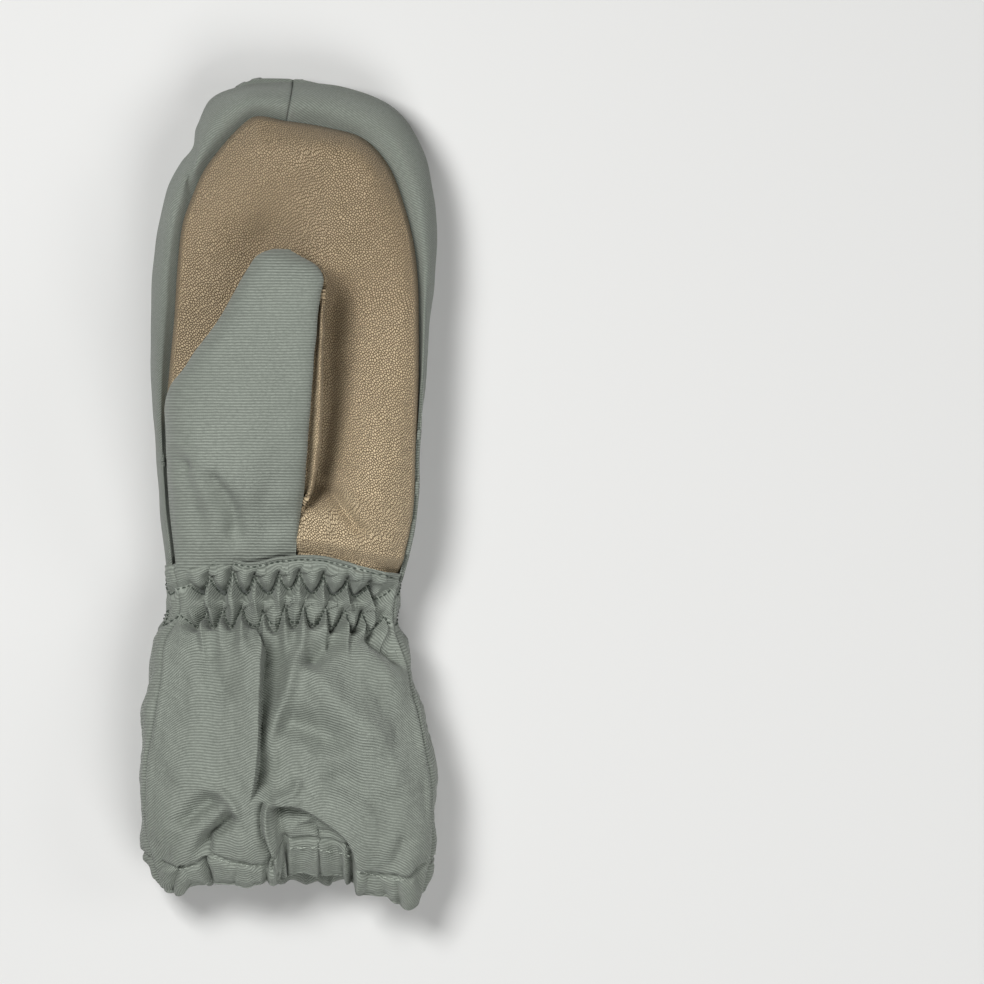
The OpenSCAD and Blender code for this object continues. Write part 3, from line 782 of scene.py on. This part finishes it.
LOWER_ZIGZAG = [
    (-31.2, -35.0), (-27.6, -38.2), (-24.9, -33.6), (-22.1, -38.3), (-19.7, -33.2), (-16.5, -38.0),
    (-13.7, -33.0), (-9.7, -38.2), (-7.4, -33.6), (-3.8, -37.8), (-1.0, -32.6), (1.8, -37.2),
    (4.6, -32.4), (7.7, -37.6), (11.3, -33.0), (13.3, -38.4), (17.3, -33.8), (19.7, -38.8),
    (22.9, -34.4), (25.6, -39.6), (28.8, -35.4), (30.8, -38.0),
]
SEAM_LAP = 2.2  # how far the back panel reaches in under the palm-side one
CUFF_SQUARENESS, LINING_SQUARENESS = 2.5, 2.4  # of a section round the arm: 2 is an ellipse


def squared(angle, squareness):
    """Cosine and sine of an angle, pushed out towards the corners of a box."""
    c, s = np.cos(angle), np.sin(angle)
    return (np.sign(v) * np.abs(v) ** (2 / squareness) for v in (c, s))


def cuff_section(v, columns, upper):
    """Rows of points at places v from the wrist seam to the hem, over the palm side or the back side."""
    nominal = -20 - 95 * v
    sides, tall = np.array(CUFF_SIDES), np.array(CUFF_HEIGHTS)
    left, right = hermite(-sides[:, 0], sides[:, 1:], -nominal).T
    top, bottom = hermite(-tall[:, 0], tall[:, 1:], -nominal).T
    middle, half = (left + right) / 2, (right - left) / 2
    centre, rise = (top + bottom) / 2, (top - bottom) / 2
    seam_left = np.maximum(line_at(LEFT_SEAM, nominal), left + 0.9)
    seam_right = np.minimum(line_at(RIGHT_SEAM, nominal), right - 0.9)
    from_right = np.arccos(((seam_right - middle) / half) ** (CUFF_SQUARENESS / 2))
    from_left = np.pi - np.arccos(((middle - seam_left) / half) ** (CUFF_SQUARENESS / 2))
    rows = np.empty((len(v), columns, 3))
    for i in range(len(v)):
        if upper:
            angle = np.linspace(from_left[i], from_right[i], 500)
        else:
            lap = SEAM_LAP / half[i]
            angle = np.linspace(from_right[i] + lap, from_left[i] - 2 * np.pi - lap, 700)
        c, s = squared(angle, CUFF_SQUARENESS)
        x, z = middle[i] + half[i] * c, centre[i] + rise[i] * s
        along = lengths(np.stack([x, z], 1))
        t = np.linspace(0, 1, columns)
        rows[i, :, 0], rows[i, :, 2] = np.interp(t, along, x), np.interp(t, along, z)
    x, z = rows[..., 0], rows[..., 2]
    seam_y = wrist_seam_y(x)
    hem_y = line_at([(y, across) for across, y in HEM_EDGE], np.clip(x, -43, 43))
    under_hem = -111.5 + 0.8 * np.sin(x * 0.9) + 0.5 * np.sin(x * 0.37 + 1)
    over = ease(-0.25, 0.35, (z - centre[:, None]) / rise[:, None])
    seam_y = seam_y * over + -21.0 * (1 - over)
    hem_y = hem_y * over + under_hem * (1 - over)
    rows[..., 1] = seam_y + (hem_y - seam_y) * v[:, None]
    return rows


def unrolled(rows, upper):
    """A place round the cuff: x on the palm side, and the distance on from the right seam under it."""
    if upper:
        return rows[..., 0]
    return rows[:, :1, 0] + distance_along(rows[..., [0, 2]], 1)


def zigzag_under(right_end, left_end, girth, count, middle, swing):
    """The same zigzag carried on round the back of the cuff."""
    start, stop = right_end[0], left_end[0] + girth
    places = np.linspace(start, stop, 2 * count + 1)[1:-1]
    rng = np.random.default_rng(count)
    line = [right_end]
    for k, place in enumerate(places):
        u = place + rng.uniform(-0.4, 0.4)
        line.append((u, middle + (swing if k % 2 else -swing) * rng.uniform(0.85, 1.1)))
    return line + [(stop, left_end[1])]


def scallops(tips):
    """A zigzag line with pointed upper tips and round lower ones."""
    line = []
    for (x0, y0), (x1, y1) in zip(tips, tips[1:]):
        for t in np.arange(6) / 6:
            quarter = math.pi * t / 2
            rise = math.sin(quarter) ** 0.85 if y1 < y0 else 1 - math.cos(quarter) ** 0.85
            line.append((x0 + (x1 - x0) * t, y0 + (y1 - y0) * rise))
    return line + [tips[-1]]


def valley(place, y, line, depth, width, step):
    """A row of stitches that pulls the cloth in. The cloth below it stands higher than above it."""
    side = near(place, y, line)[0]
    d = np.abs(side)
    push = -depth * np.exp(-d / width)
    return push - step * np.where(side > 0, np.exp(-d / 2.4) * ease(0, 0.5, d), 0), d


# Where the tips of the two zigzags are, low and high
UPPER_TIPS, LOWER_TIPS = (-29.5, -24), (-38.2, -33)


def gathers(place, y, upper_line, lower_line):
    """Puffs and pleats of the gathered wrist."""
    push, d1 = valley(place, y, upper_line, 2.6, 0.75, 2.6)
    more, d2 = valley(place, y, lower_line, 2.6, 0.75, 2.6)
    push = push + more + 1.3 * ease(0.2, 2.2, np.minimum(d1, d2)) * ease(-43, -37, y) * ease(-20, -23, y)
    uneven = 0.8 + 0.4 * np.sin(place * 0.43 + 1)
    # tongues stand up below the lower row, from its tips, and fade out
    phase = rise_and_fall(place, lower_line, *LOWER_TIPS)
    push = push + (phase ** 0.7 - 0.5) * 3.4 * uneven * ease(-50, -38.5, y) * ease(-34, -38.5, y)
    # creased diamonds between the two rows: a pinch runs down from each lower tip of the upper row
    phase = rise_and_fall(place + 0.22 * (y + 31), upper_line, *UPPER_TIPS)
    between = ease(-38, -34, y) * ease(-25.5, -28.5, y)
    push = push + (phase ** 0.8 - 0.6) * 3.6 * between
    # soft pillows above the upper row, with a crease over each of its upper tips
    phase = rise_and_fall(place, upper_line, *UPPER_TIPS)
    return push + (0.5 - phase) * 1.3 * ease(-28, -24.5, y) * ease(-20.5, -23, y)


def rise_and_fall(place, line, low, high):
    """1 over the upper tips of a zigzag and 0 over its lower ones."""
    tips = np.array(sorted(line))
    return ease(low, high, np.interp(place, tips[:, 0], tips[:, 1]))


# Three creases of the palm side, as x, y: the long tuck, the pinch below it and the arch over the hem
TUCK = [
    (-12.4, -35.4), (-9.6, -38.8), (-7.5, -42.5), (-7.6, -50), (-8.0, -60), (-8.4, -70),
    (-8.9, -79), (-10.0, -86), (-11.4, -90.5),
]
PINCH = [
    (-7.0, -88.6), (-7.9, -91.5), (-8.1, -95), (-7.6, -99.4), (-6.4, -103.2), (-5.0, -106.5),
    (-4.4, -111),
]
ARCH = [
    (-5.6, -91.4), (-1, -90.8), (5, -92.0), (10.6, -95.6), (14.6, -98.4), (17.8, -102),
    (19.2, -107), (19.4, -113),
]
SOFT_FOLDS = [  # line of x, y, then depth and width: a negative depth is a ridge
    ([(2.9, -38), (1.4, -50), (-1.2, -60), (-5.2, -70), (-8.6, -79)], -4.2, 2.6),
    ([(-3, -40), (-4.5, -52), (-6.5, -64)], 1.6, 2.4),
    ([(15.5, -39), (10, -45), (5.0, -51)], 4.6, 2.8),
    ([(3, -47), (12, -58), (22, -68), (33, -76)], -3.6, 4.5),
    ([(-7, -64), (0, -66), (9, -69), (18, -76)], 5.4, 4.2),
    ([(20, -38), (28, -43.5), (37, -50)], 4.2, 2.4),
    ([(17, -44), (27, -51), (37, -60)], -1.6, 3.5),
    ([(24, -54), (31, -64), (36, -78)], 1.8, 5.0),
    ([(-24, -39), (-23, -50), (-17, -62)], 2.8, 4.0),
    ([(-15, -40), (-11.5, -50), (-11, -64)], -1.6, 3.0),
    ([(-33, -44), (-31, -58), (-34, -74)], 1.5, 4.5),
    ([(8, -80), (20, -85), (34, -94)], 3.6, 4.5),
    ([(36, -80), (28, -86), (18, -90)], -1.4, 4.5),
    ([(-36, -80), (-28, -82), (-22, -85)], -1.4, 3.5),
    ([(-26.5, -86), (-20.5, -86.5), (-16, -90), (-14.5, -96)], -2.6, 1.8),
]
LOWER_FOLDS = [  # the same for the bloused end, with options
    ([(-18, -86.5), (-24, -89), (-30, -94), (-34.5, -98)], 4.0, 2.4, {"lift": -1.0, "lift_width": 5}),
    ([(-15.5, -92), (-20, -96.8), (-23.6, -100.2), (-25, -106.5)], 5.6, 1.8, {"lift": -1.2, "fade": 0.2}),
    ([(-31, -97), (-35, -102), (-37, -109)], 1.6, 2.6, {}),
    ([(-6.4, -90.4), (-2.7, -88.5), (1.9, -86.2), (3.2, -81)], -2.0, 1.5, {"fade": 0.25}),
    ([(0.5, -101.5), (1.5, -97), (4.5, -94.6), (9, -95.4)], -1.0, 2.2, {}),
    ([(5, -95.5), (8.2, -99.5), (11, -101), (13.4, -99.8)], 2.0, 1.5, {"lift": -0.5, "fade": 0.2}),
    ([(36, -97), (33, -104), (29, -111)], 1.6, 2.6, {}),
]


def palm_side_folds(x, y):
    """The folds that show on the palm side of the cuff."""
    d, along = near(x, y, smooth_path(TUCK, 34))
    ends = ease(0, 0.14, along) * ease(0, 0.2, 1 - along)
    # the line runs down, so its left side is at +x
    lower = ease(-0.2, 0.3, d)
    under, over = np.exp(-np.maximum(d, 0) / 7.0), bell(np.minimum(d, 0), 8)
    push = ends * (-8.0 * lower * under + 3.0 * (1 - lower) * over)
    push += folds(x, y, [(*line, {}) for line in SOFT_FOLDS]) + folds(x, y, LOWER_FOLDS)
    d, along = near(x, y, smooth_path(PINCH, FOLD_POINTS))
    crease = -3.4 * np.exp(-np.abs(d) / 0.7) + 1.7 * bell(d - 1.5, 0.9) - 2.2 * bell(d - 4.4, 2.0)
    push += ease(0, 0.1, along) * ease(0, 0.1, 1 - along) * crease
    d, along = near(x, y, smooth_path(ARCH, 30))
    inside = ease(-0.5, 1.0, -d)
    under, over = 0.42 + 0.58 * np.exp(-np.maximum(-d, 0) / 6.0), bell(np.maximum(d, 0), 5)
    strong = 5.4 + 2.2 * ease(8, 0, x)
    push += ease(0, 0.08, along) * (-strong * inside * under + 1.4 * (1 - inside) * over)
    return push


HEM_TUCKS = [  # x, depth, width
    (-38.4, 1.9, 1.2), (-33.0, 2.3, 1.7), (-29.2, 0.9, 1.5), (-23.6, 3.4, 0.9), (-19.2, 0.6, 1.6),
    (-15.0, 1.1, 1.4), (-10.8, 0.8, 1.6), (-6.4, 2.2, 0.9), (-2.8, 1.5, 1.0), (0.6, 3.8, 0.7),
    (4.8, 0.5, 1.7), (8.8, 1.5, 1.4), (13.2, 2.2, 1.3), (18.8, 3.2, 0.8), (22.8, 0.7, 1.6),
    (27.0, 1.2, 1.5), (31.8, 1.6, 1.5), (38.4, 1.4, 1.3),
]


def hem_ruffles(place, y, hem_y, stitch_y, tucks):
    """The puffed casing between the hem's stitches and its edge, and the tucks that gather it."""
    deep = np.maximum(stitch_y - hem_y, 1)
    down = (stitch_y - y) / deep
    puff = 1.5 * np.sqrt(np.clip(down, 0, 1)) * ease(1.25, 0.7, down)
    push = puff - 1.3 * bell(y - stitch_y, 0.8)
    grow = ease(-0.35, 0.35, down)
    for where, depth, width in tucks:
        lean = where + 2.4 * math.sin(where) * (down - 0.5)
        push = push - 1.3 * depth * grow * np.exp(-((np.abs(place - lean) / width) ** 1.3))
    return push + 0.25 * waves(place, y * 0.5, 6, 57) * grow


STITCH_LINE = np.array([
    (-43, -104), (-38, -107.6), *(point for run in HEM_STITCHES for point in run), (39, -108.5), (43, -104),
])
HEM_DEEP = 7.5  # from the hem's edge to its stitches, on the back side
TURN_STEPS, RETURN_STEPS = 8, 5  # rows of the hem's casing, round its edge and back up inside
TURN_RADIUS, RETURN_STEP = 1.5, 1.3
PUSH_IN, PUSH_OUT = -8.8, 2.5  # how far folds may reach before the lining or the next fold stops them


def back_tucks():
    """Small tucks in the hem round the back side, as place, depth and width."""
    rng = np.random.default_rng(5)
    return [(u + rng.uniform(-0.9, 0.9), rng.uniform(0.5, 1.7), 0.9) for u in np.arange(46, 126, 3.8)]


def turned_hem(edge, inward):
    """The hem's casing, which turns under and comes back inside on a calmer line."""
    smooth_edge = blur(edge, 12, 0)
    smooth_edge[[0, -1]] = edge[[0, -1]]
    rows = []
    for k in range(1, TURN_STEPS + 1):
        share = k / TURN_STEPS
        turn = math.pi * share
        line = edge * (1 - share) + smooth_edge * share
        drop = np.array((0, -TURN_RADIUS * math.sin(turn), 0))
        rows.append(line + inward * TURN_RADIUS * (1 - math.cos(turn)) + drop)
    for k in range(1, RETURN_STEPS + 1):
        rows.append(rows[TURN_STEPS - 1] + np.array((0, RETURN_STEP * k, 0)) + inward * 0.12 * k)
    return np.array(rows)


def cuff_panel(name, upper, rows, columns):
    """The palm-side or back-side panel, and what its stitches need: a Cloth and its two zigzags."""
    v = np.linspace(0, 1, rows)
    plain = cuff_section(v, columns, upper)
    place = unrolled(plain, upper)
    x, y = plain[..., 0], plain[..., 1]
    upper_line, lower_line = UPPER_ZIGZAG, LOWER_ZIGZAG
    if not upper:
        upper_line = zigzag_under(UPPER_ZIGZAG[-1], UPPER_ZIGZAG[0], CUFF_GIRTH, 14, -26.8, 2.6)
        lower_line = zigzag_under(LOWER_ZIGZAG[-1], LOWER_ZIGZAG[0], CUFF_GIRTH, 15, -35.6, 2.3)
    upper_line, lower_line = scallops(upper_line), scallops(lower_line)
    # the gathers reach no lower than this row
    last = int(np.argmax((y <= -62).all(1)))
    push, gathered = np.zeros(x.shape), np.zeros(x.shape)
    push[:last] = gathers(place[:last], y[:last], upper_line, lower_line)
    gathered[:last] = push[:last]
    hem_y = y[-1][None, :]
    from_edge = np.minimum(place - place[:, :1], place[:, -1:] - place)
    calm, calm_from, calm_to = (0.3, 0, 6) if upper else (0.2, 8, 18)
    push = push * (calm + (1 - calm) * ease(calm_from, calm_to, from_edge))
    if upper:
        push += palm_side_folds(x, y)
        stitch_y = np.interp(x, *STITCH_LINE.T)
        tucks = HEM_TUCKS
    else:
        push = 0.75 * blur(blur(push, 3, 1), 2, 0)
        stitch_y = np.broadcast_to(hem_y + HEM_DEEP, x.shape)
        tucks = back_tucks()
        beneath = 0.3 + 0.7 * ease(9, 18, from_edge)
        push += 0.9 * beneath * waves(place, y * 0.45, 22, 55) * ease(-36, -50, y) * ease(-109, -98, y)
    low = ease(-97, -103, y)
    push += hem_ruffles(place, y, hem_y, stitch_y, tucks) * low
    push = np.maximum(push, PUSH_IN + 2.4 * low)
    push = np.where(push > PUSH_OUT, PUSH_OUT + 1.5 * np.tanh((push - PUSH_OUT) / 1.5), push)
    push += (0.45 * waves(place, y, 24, 51) + 0.16 * waves(place, y, 9, 52)) * ease(-40, -48, y)
    push += 0.10 * waves(place, y, 4.5, 53)
    # a rolled edge at the wrist seam, and a groove for its topstitching
    below = y[:1] - y
    rim = 1.0 if upper else 0.3
    push += rim * (0.65 * bell(below, 0.55) - 0.6 * bell(below - 1.2, 0.5) + 0.5 * ease(3.5, 0, below))
    # the panels dip where they are sewn to each other
    girth = np.linalg.norm(np.diff(plain[rows // 2], axis=0), axis=1).sum()
    across = np.linspace(0, 1, columns)[None] * girth
    from_seam = np.minimum(across, across[:, -1:] - across)
    if upper:
        push = push * ease(0, 2.5, from_seam) + 0.25 * bell(from_seam - 1.2, 1.0)
    else:
        push = push * ease(1.5, 5, from_seam) - 1.1 * ease(3.2, 1.2, from_seam)
    normal = -outward(plain)
    grid = plain + normal * push[..., None]
    if not upper:
        grid[..., 2] = np.maximum(grid[..., 2], 0.15 + 0.05 * waves(place, y, 12, 54))
    hem = turned_hem(grid[-1], -blur(normal[-1], 6, 0))
    whole = np.concatenate([grid, hem], 0)
    down = distance_along(np.concatenate([plain, hem], 0), 0)
    extra = distance_along(whole, 0) - down
    round_way = np.concatenate([place, np.repeat(place[-1:], len(hem), 0)], 0)
    # the ribs bend over the gathers
    bent = np.concatenate([0.5 * blur(gathered, 2, 1), np.zeros((len(hem), columns))], 0)
    weave = np.stack([round_way, -(down + 0.5 * blur(extra, 14, 1)) + bent], 2)
    piece = grid_piece(name, whole, shell, weave, CUFF_THICK, flip=True)
    return piece, Cloth(grid, place), upper_line, lower_line


WRIST_ROW = cuff_section(np.array([0.12]), 300, False)
CUFF_GIRTH = float(unrolled(WRIST_ROW, False)[0, -1] - WRIST_ROW[0, -1, 0])


# ------------------------------------------------------------------ stitches


class Cloth:
    """Finds the point of a finished panel at a place round it and a y."""

    def __init__(self, grid, place):
        self.grid = grid.reshape(-1, 3)
        self.normal = -outward(grid).reshape(-1, 3)
        self.tree = KDTree(len(self.grid))
        for k, (u, y) in enumerate(zip(place.ravel(), grid[..., 1].ravel())):
            self.tree.insert((u, y, 0), k)
        self.tree.balance()

    def at(self, u, y):
        found = self.tree.find_n((u, y, 0), 3)
        share = np.array([1 / (f[2] + 0.02) for f in found])
        picks = [f[1] for f in found]
        share /= share.sum()
        normal = share @ self.normal[picks]
        return share @ self.grid[picks], normal / np.linalg.norm(normal)


STITCH_SIDES, STITCH_RINGS = 6, 7
# Distance from one stitch to the next, length and thickness of each kind
SEAM_STITCH, ZIGZAG_STITCH, HEM_STITCH = (1.75, 1.2, 0.36), (1.25, 0.95, 0.42), (1.9, 1.25, 0.42)


def stitch(ends, thick):
    """Points of one stitch, ring by ring: it bows up from the cloth and dips in at both ends."""
    (a, na), (m, nm), (b, nb) = ends
    m = m + nm * thick * 0.8
    a, b = a - na * thick * 0.35, b - nb * thick * 0.35
    ahead = b - a
    ahead /= max(np.linalg.norm(ahead), 1e-6)
    side = np.cross(ahead, nm)
    side /= max(np.linalg.norm(side), 1e-6)
    up = np.cross(side, ahead)
    points = []
    for t in np.linspace(0, 1, STITCH_RINGS):
        core = (1 - t) ** 2 * a + 2 * t * (1 - t) * (2 * m - (a + b) / 2) + t * t * b
        radius = thick * 0.5 * (0.45 + 0.55 * max(math.sin(math.pi * t), 0) ** 0.5)
        for corner in range(STITCH_SIDES):
            turn = 2 * math.pi * corner / STITCH_SIDES
            points.append(core + radius * (math.cos(turn) * side + math.sin(turn) * up))
    return points


def stitch_faces():
    """Corner numbers of one stitch: its sides, and two quads for each six-sided end."""
    faces = []
    for ring in range(STITCH_RINGS - 1):
        low = ring * STITCH_SIDES
        for corner in range(STITCH_SIDES):
            here, after = low + corner, low + (corner + 1) % STITCH_SIDES
            faces.append((here, after, after + STITCH_SIDES, here + STITCH_SIDES))
    end = np.arange(STITCH_SIDES)
    for loop in (end[::-1], end + (STITCH_RINGS - 1) * STITCH_SIDES):
        faces += [tuple(loop[[0, 1, 2, 3]]), tuple(loop[[0, 3, 4, 5]])]
    return np.array(faces)


def stitches(name, runs, kind, finish):
    """A row of separate stitches along lines of (place, y) on panels."""
    pitch, long, thick = kind
    points, weave = [], []
    for cloth, line in runs:
        line = np.asarray(line, float)
        total = np.linalg.norm(np.diff(line, axis=0), axis=1).sum()
        marks = lengths(line) * total
        for centre in np.arange(pitch * 0.5, total - pitch * 0.3, pitch):
            along = np.clip(centre + np.array((-0.5, 0.0, 0.5)) * long, 0, total)
            places = zip(np.interp(along, marks, line[:, 0]), np.interp(along, marks, line[:, 1]))
            points += stitch([cloth.at(u, y) for u, y in places], thick)
            weave += [
                (centre + t * long, corner * 0.2)
                for t in np.linspace(0, 1, STITCH_RINGS) for corner in range(STITCH_SIDES)
            ]
    one = stitch_faces()
    firsts = np.arange(0, len(points), STITCH_SIDES * STITCH_RINGS)
    faces = (firsts[:, None, None] + one[None]).reshape(-1, 4)
    return make(name, np.array(points), faces, finish, np.array(weave))


# ------------------------------------------------------------------ linings


CUFF_LINING = [  # y, middle x, half width, middle z, half height
    (-108.5, 0.4, 34.5, 14.4, 6.2), (-104, 0.3, 35.5, 14.8, 7.8), (-95, 0.1, 37, 15.4, 9.4),
    (-80, -0.2, 37, 15.6, 10.4), (-62, -0.8, 34.5, 15.6, 10.2), (-50, -1.4, 31.0, 15.8, 9.0),
    (-40, -1.8, 28.0, 16.2, 7.8), (-33, -1.8, 27.5, 16.6, 7.8), (-24, -1.4, 28.0, 17, 8.8),
    (-18, -1, 28.2, 16.8, 8.8),
]
HAND_LINING = [  # the same
    (-20, -1, 28, 16.6, 8.6), (-5, 0, 29.5, 13.6, 7.4), (20, 0.5, 31, 12.8, 7.2),
    (50, 0.8, 32, 12.8, 7.2), (78, 1, 31, 13.0, 7.4), (92, 1, 26, 14.4, 7.6),
    (100, 1, 17, 14.6, 5.5), (103.5, 1, 4, 14.8, 1.5),
]


def lining(name, stations, rows=120, columns=89):
    """A slightly loose tube through the given sections."""
    stations = np.array(stations, float)
    row = hermite(lengths(stations[:, :1]), stations, np.linspace(0, 1, rows))[:, None, :]
    angle = np.linspace(0, 2 * np.pi, columns + 1)[None]
    c, s = squared(angle, LINING_SQUARENESS)
    x, z = row[..., 1] + row[..., 2] * c, row[..., 3] + row[..., 4] * s
    y = row[..., 0] + 0 * x
    grid = np.stack([x, y, z], 2)
    loose = 0.5 * waves(angle * 14 + 0 * x, y, 24, 71) * np.minimum(1, row[..., 4] / 6)
    grid = grid + outward(grid) * loose[..., None]
    weave = np.stack([angle * 30 + 0 * x, y], 2)
    # the last column is the first one again, so the faces close on it
    faces = grid_faces(rows, columns + 1)
    faces = faces // (columns + 1) * columns + faces % (columns + 1) % columns
    return make(name, grid[:, :-1], faces, fleece, weave[:, :-1], LINING_THICK)


# ------------------------------------------------------------------ the mitten

fine = 1.0
palm = palm_panel()
left_gusset = gusset("gusset_thumb_side", MIDDLE_SEAM, 1.0, left_gusset_cloth)
right_gusset = gusset("gusset_little_finger_side", 0.0, MIDDLE_SEAM, right_gusset_cloth)
back = back_panel()
thumb = thumb_fabric()
thumb_palm_side = thumb_leather()
cuff_palm, palm_cloth, upper_line, lower_line = cuff_panel(
    "cuff_palm_side", True, int(400 * fine), int(340 * fine)
)
cuff_back, back_cloth, upper_under, lower_under = cuff_panel(
    "cuff_back_side", False, int(300 * fine), int(340 * fine)
)

seam_places = np.linspace(-31.5, 31.0, 60)
seam_line = np.stack([seam_places, wrist_seam_y(seam_places) - 1.2], 1)
hem_under = [(43, -104.3), (128, -104.3)]
seam_thread = stitches("wrist_seam_stitches", [(palm_cloth, seam_line)], SEAM_STITCH, thread)
upper_thread = stitches(
    "upper_zigzag_stitches", [(palm_cloth, upper_line), (back_cloth, upper_under)], ZIGZAG_STITCH, thread
)
lower_thread = stitches(
    "lower_zigzag_stitches", [(palm_cloth, lower_line), (back_cloth, lower_under)], ZIGZAG_STITCH, thread
)
hem_thread = stitches(
    "hem_stitches", [(palm_cloth, run) for run in HEM_STITCHES] + [(back_cloth, hem_under)],
    HEM_STITCH, pale_thread,
)
cuff_lining = lining("cuff_lining", CUFF_LINING)
hand_lining = lining("hand_lining", HAND_LINING)

# ------------------------------------------------------------------ bodies, and the hidden CAD parts

for piece in (palm, left_gusset, right_gusset, back, hand_lining):
    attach(piece, "hand")
for piece in (cuff_palm, cuff_back, cuff_lining, seam_thread, upper_thread, lower_thread):
    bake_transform(piece)
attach(hem_thread, "cuff")
for piece in (thumb, thumb_palm_side):
    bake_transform(piece)

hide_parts("palm_panel", "palm_wadding")
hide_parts("thumb_side_gusset")
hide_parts("little_side_gusset")
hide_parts("back_panel", "back_wadding")
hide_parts("back_lining", "palm_lining")
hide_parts("thumb_root_panel", "thumb_root_wadding", "thumb_root_lining", "thumb_outer_panel",
            "thumb_outer_wadding", "thumb_lining")
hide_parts("thumb_leather_panel", "thumb_palm_wadding")
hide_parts("cuff_palm_panel", "wrist_elastic")
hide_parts("cuff_back_panel", "hem_elastic")
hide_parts("cuff_palm_lining", "cuff_back_lining")
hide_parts("wrist_seam_thread")
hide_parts("wrist_upper_thread")
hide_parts("wrist_lower_thread")
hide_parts("hem_thread")

# ------------------------------------------------------------------ the studio

# From here on, places and sizes are in metres
FLOOR_REACH, FLOOR_DROP = 3, 0.0002  # half the floor's side, and how far it is below the mitten
DIM, PALE = 0.07, 0.55  # the sky as it lights the mitten, and as the camera sees it
VIEW_WIDTH, VIEW_FROM = 0.2854, (0.0592, 0.0006, 0.6)

floor_paint = Paint("pale studio floor", 0.8, specular=0.2)
floor_paint.set("Base Color", tint(FLOOR_GREY, 1))
floor_mesh = bpy.data.meshes.new("floor")
corners = [(x * FLOOR_REACH, y * FLOOR_REACH, 0) for x, y in ((-1, -1), (1, -1), (1, 1), (-1, 1))]
floor_mesh.from_pydata(corners, [], [(0, 1, 2, 3)])
floor_mesh.materials.append(floor_paint.material)
floor = placed("floor", floor_mesh)
floor.location.z = -FLOOR_DROP


def soft_light(name, place, size, power):
    """A square light that faces the middle of the mitten."""
    lamp = bpy.data.lights.new(name, "AREA")
    lamp.shape, lamp.size, lamp.energy = "SQUARE", size, power
    holder = placed(name, lamp)
    holder.location = place
    holder.rotation_euler = (-holder.location).to_track_quat("-Z", "Y").to_euler()


soft_light("key", (-0.4, 0.3, 1.04), 0.38, 11.5)
soft_light("fill", (0.32, -0.6, 0.95), 0.6, 6.5)
soft_light("right side", (0.8, 0.05, 0.65), 0.4, 1.3)
world = bpy.data.worlds.new("studio")
world.use_nodes = True
sky = world.node_tree.nodes["Background"]
sky.inputs["Color"].default_value = (1, 1, 1, 1)
# the backdrop beyond the floor is pale, and lights the scene only a little
seen = world.node_tree.nodes.new("ShaderNodeLightPath")
glow = world.node_tree.nodes.new("ShaderNodeMapRange")
glow.inputs["To Min"].default_value, glow.inputs["To Max"].default_value = DIM, PALE
world.node_tree.links.new(seen.outputs["Is Camera Ray"], glow.inputs["Value"])
world.node_tree.links.new(glow.outputs["Result"], sky.inputs["Strength"])
bpy.context.scene.world = world
bpy.context.scene.view_settings.view_transform = "Standard"

lens = bpy.data.cameras.new("camera")
lens.type, lens.ortho_scale = "ORTHO", VIEW_WIDTH
camera = placed("camera", lens)
camera.location = VIEW_FROM
bpy.context.scene.camera = camera
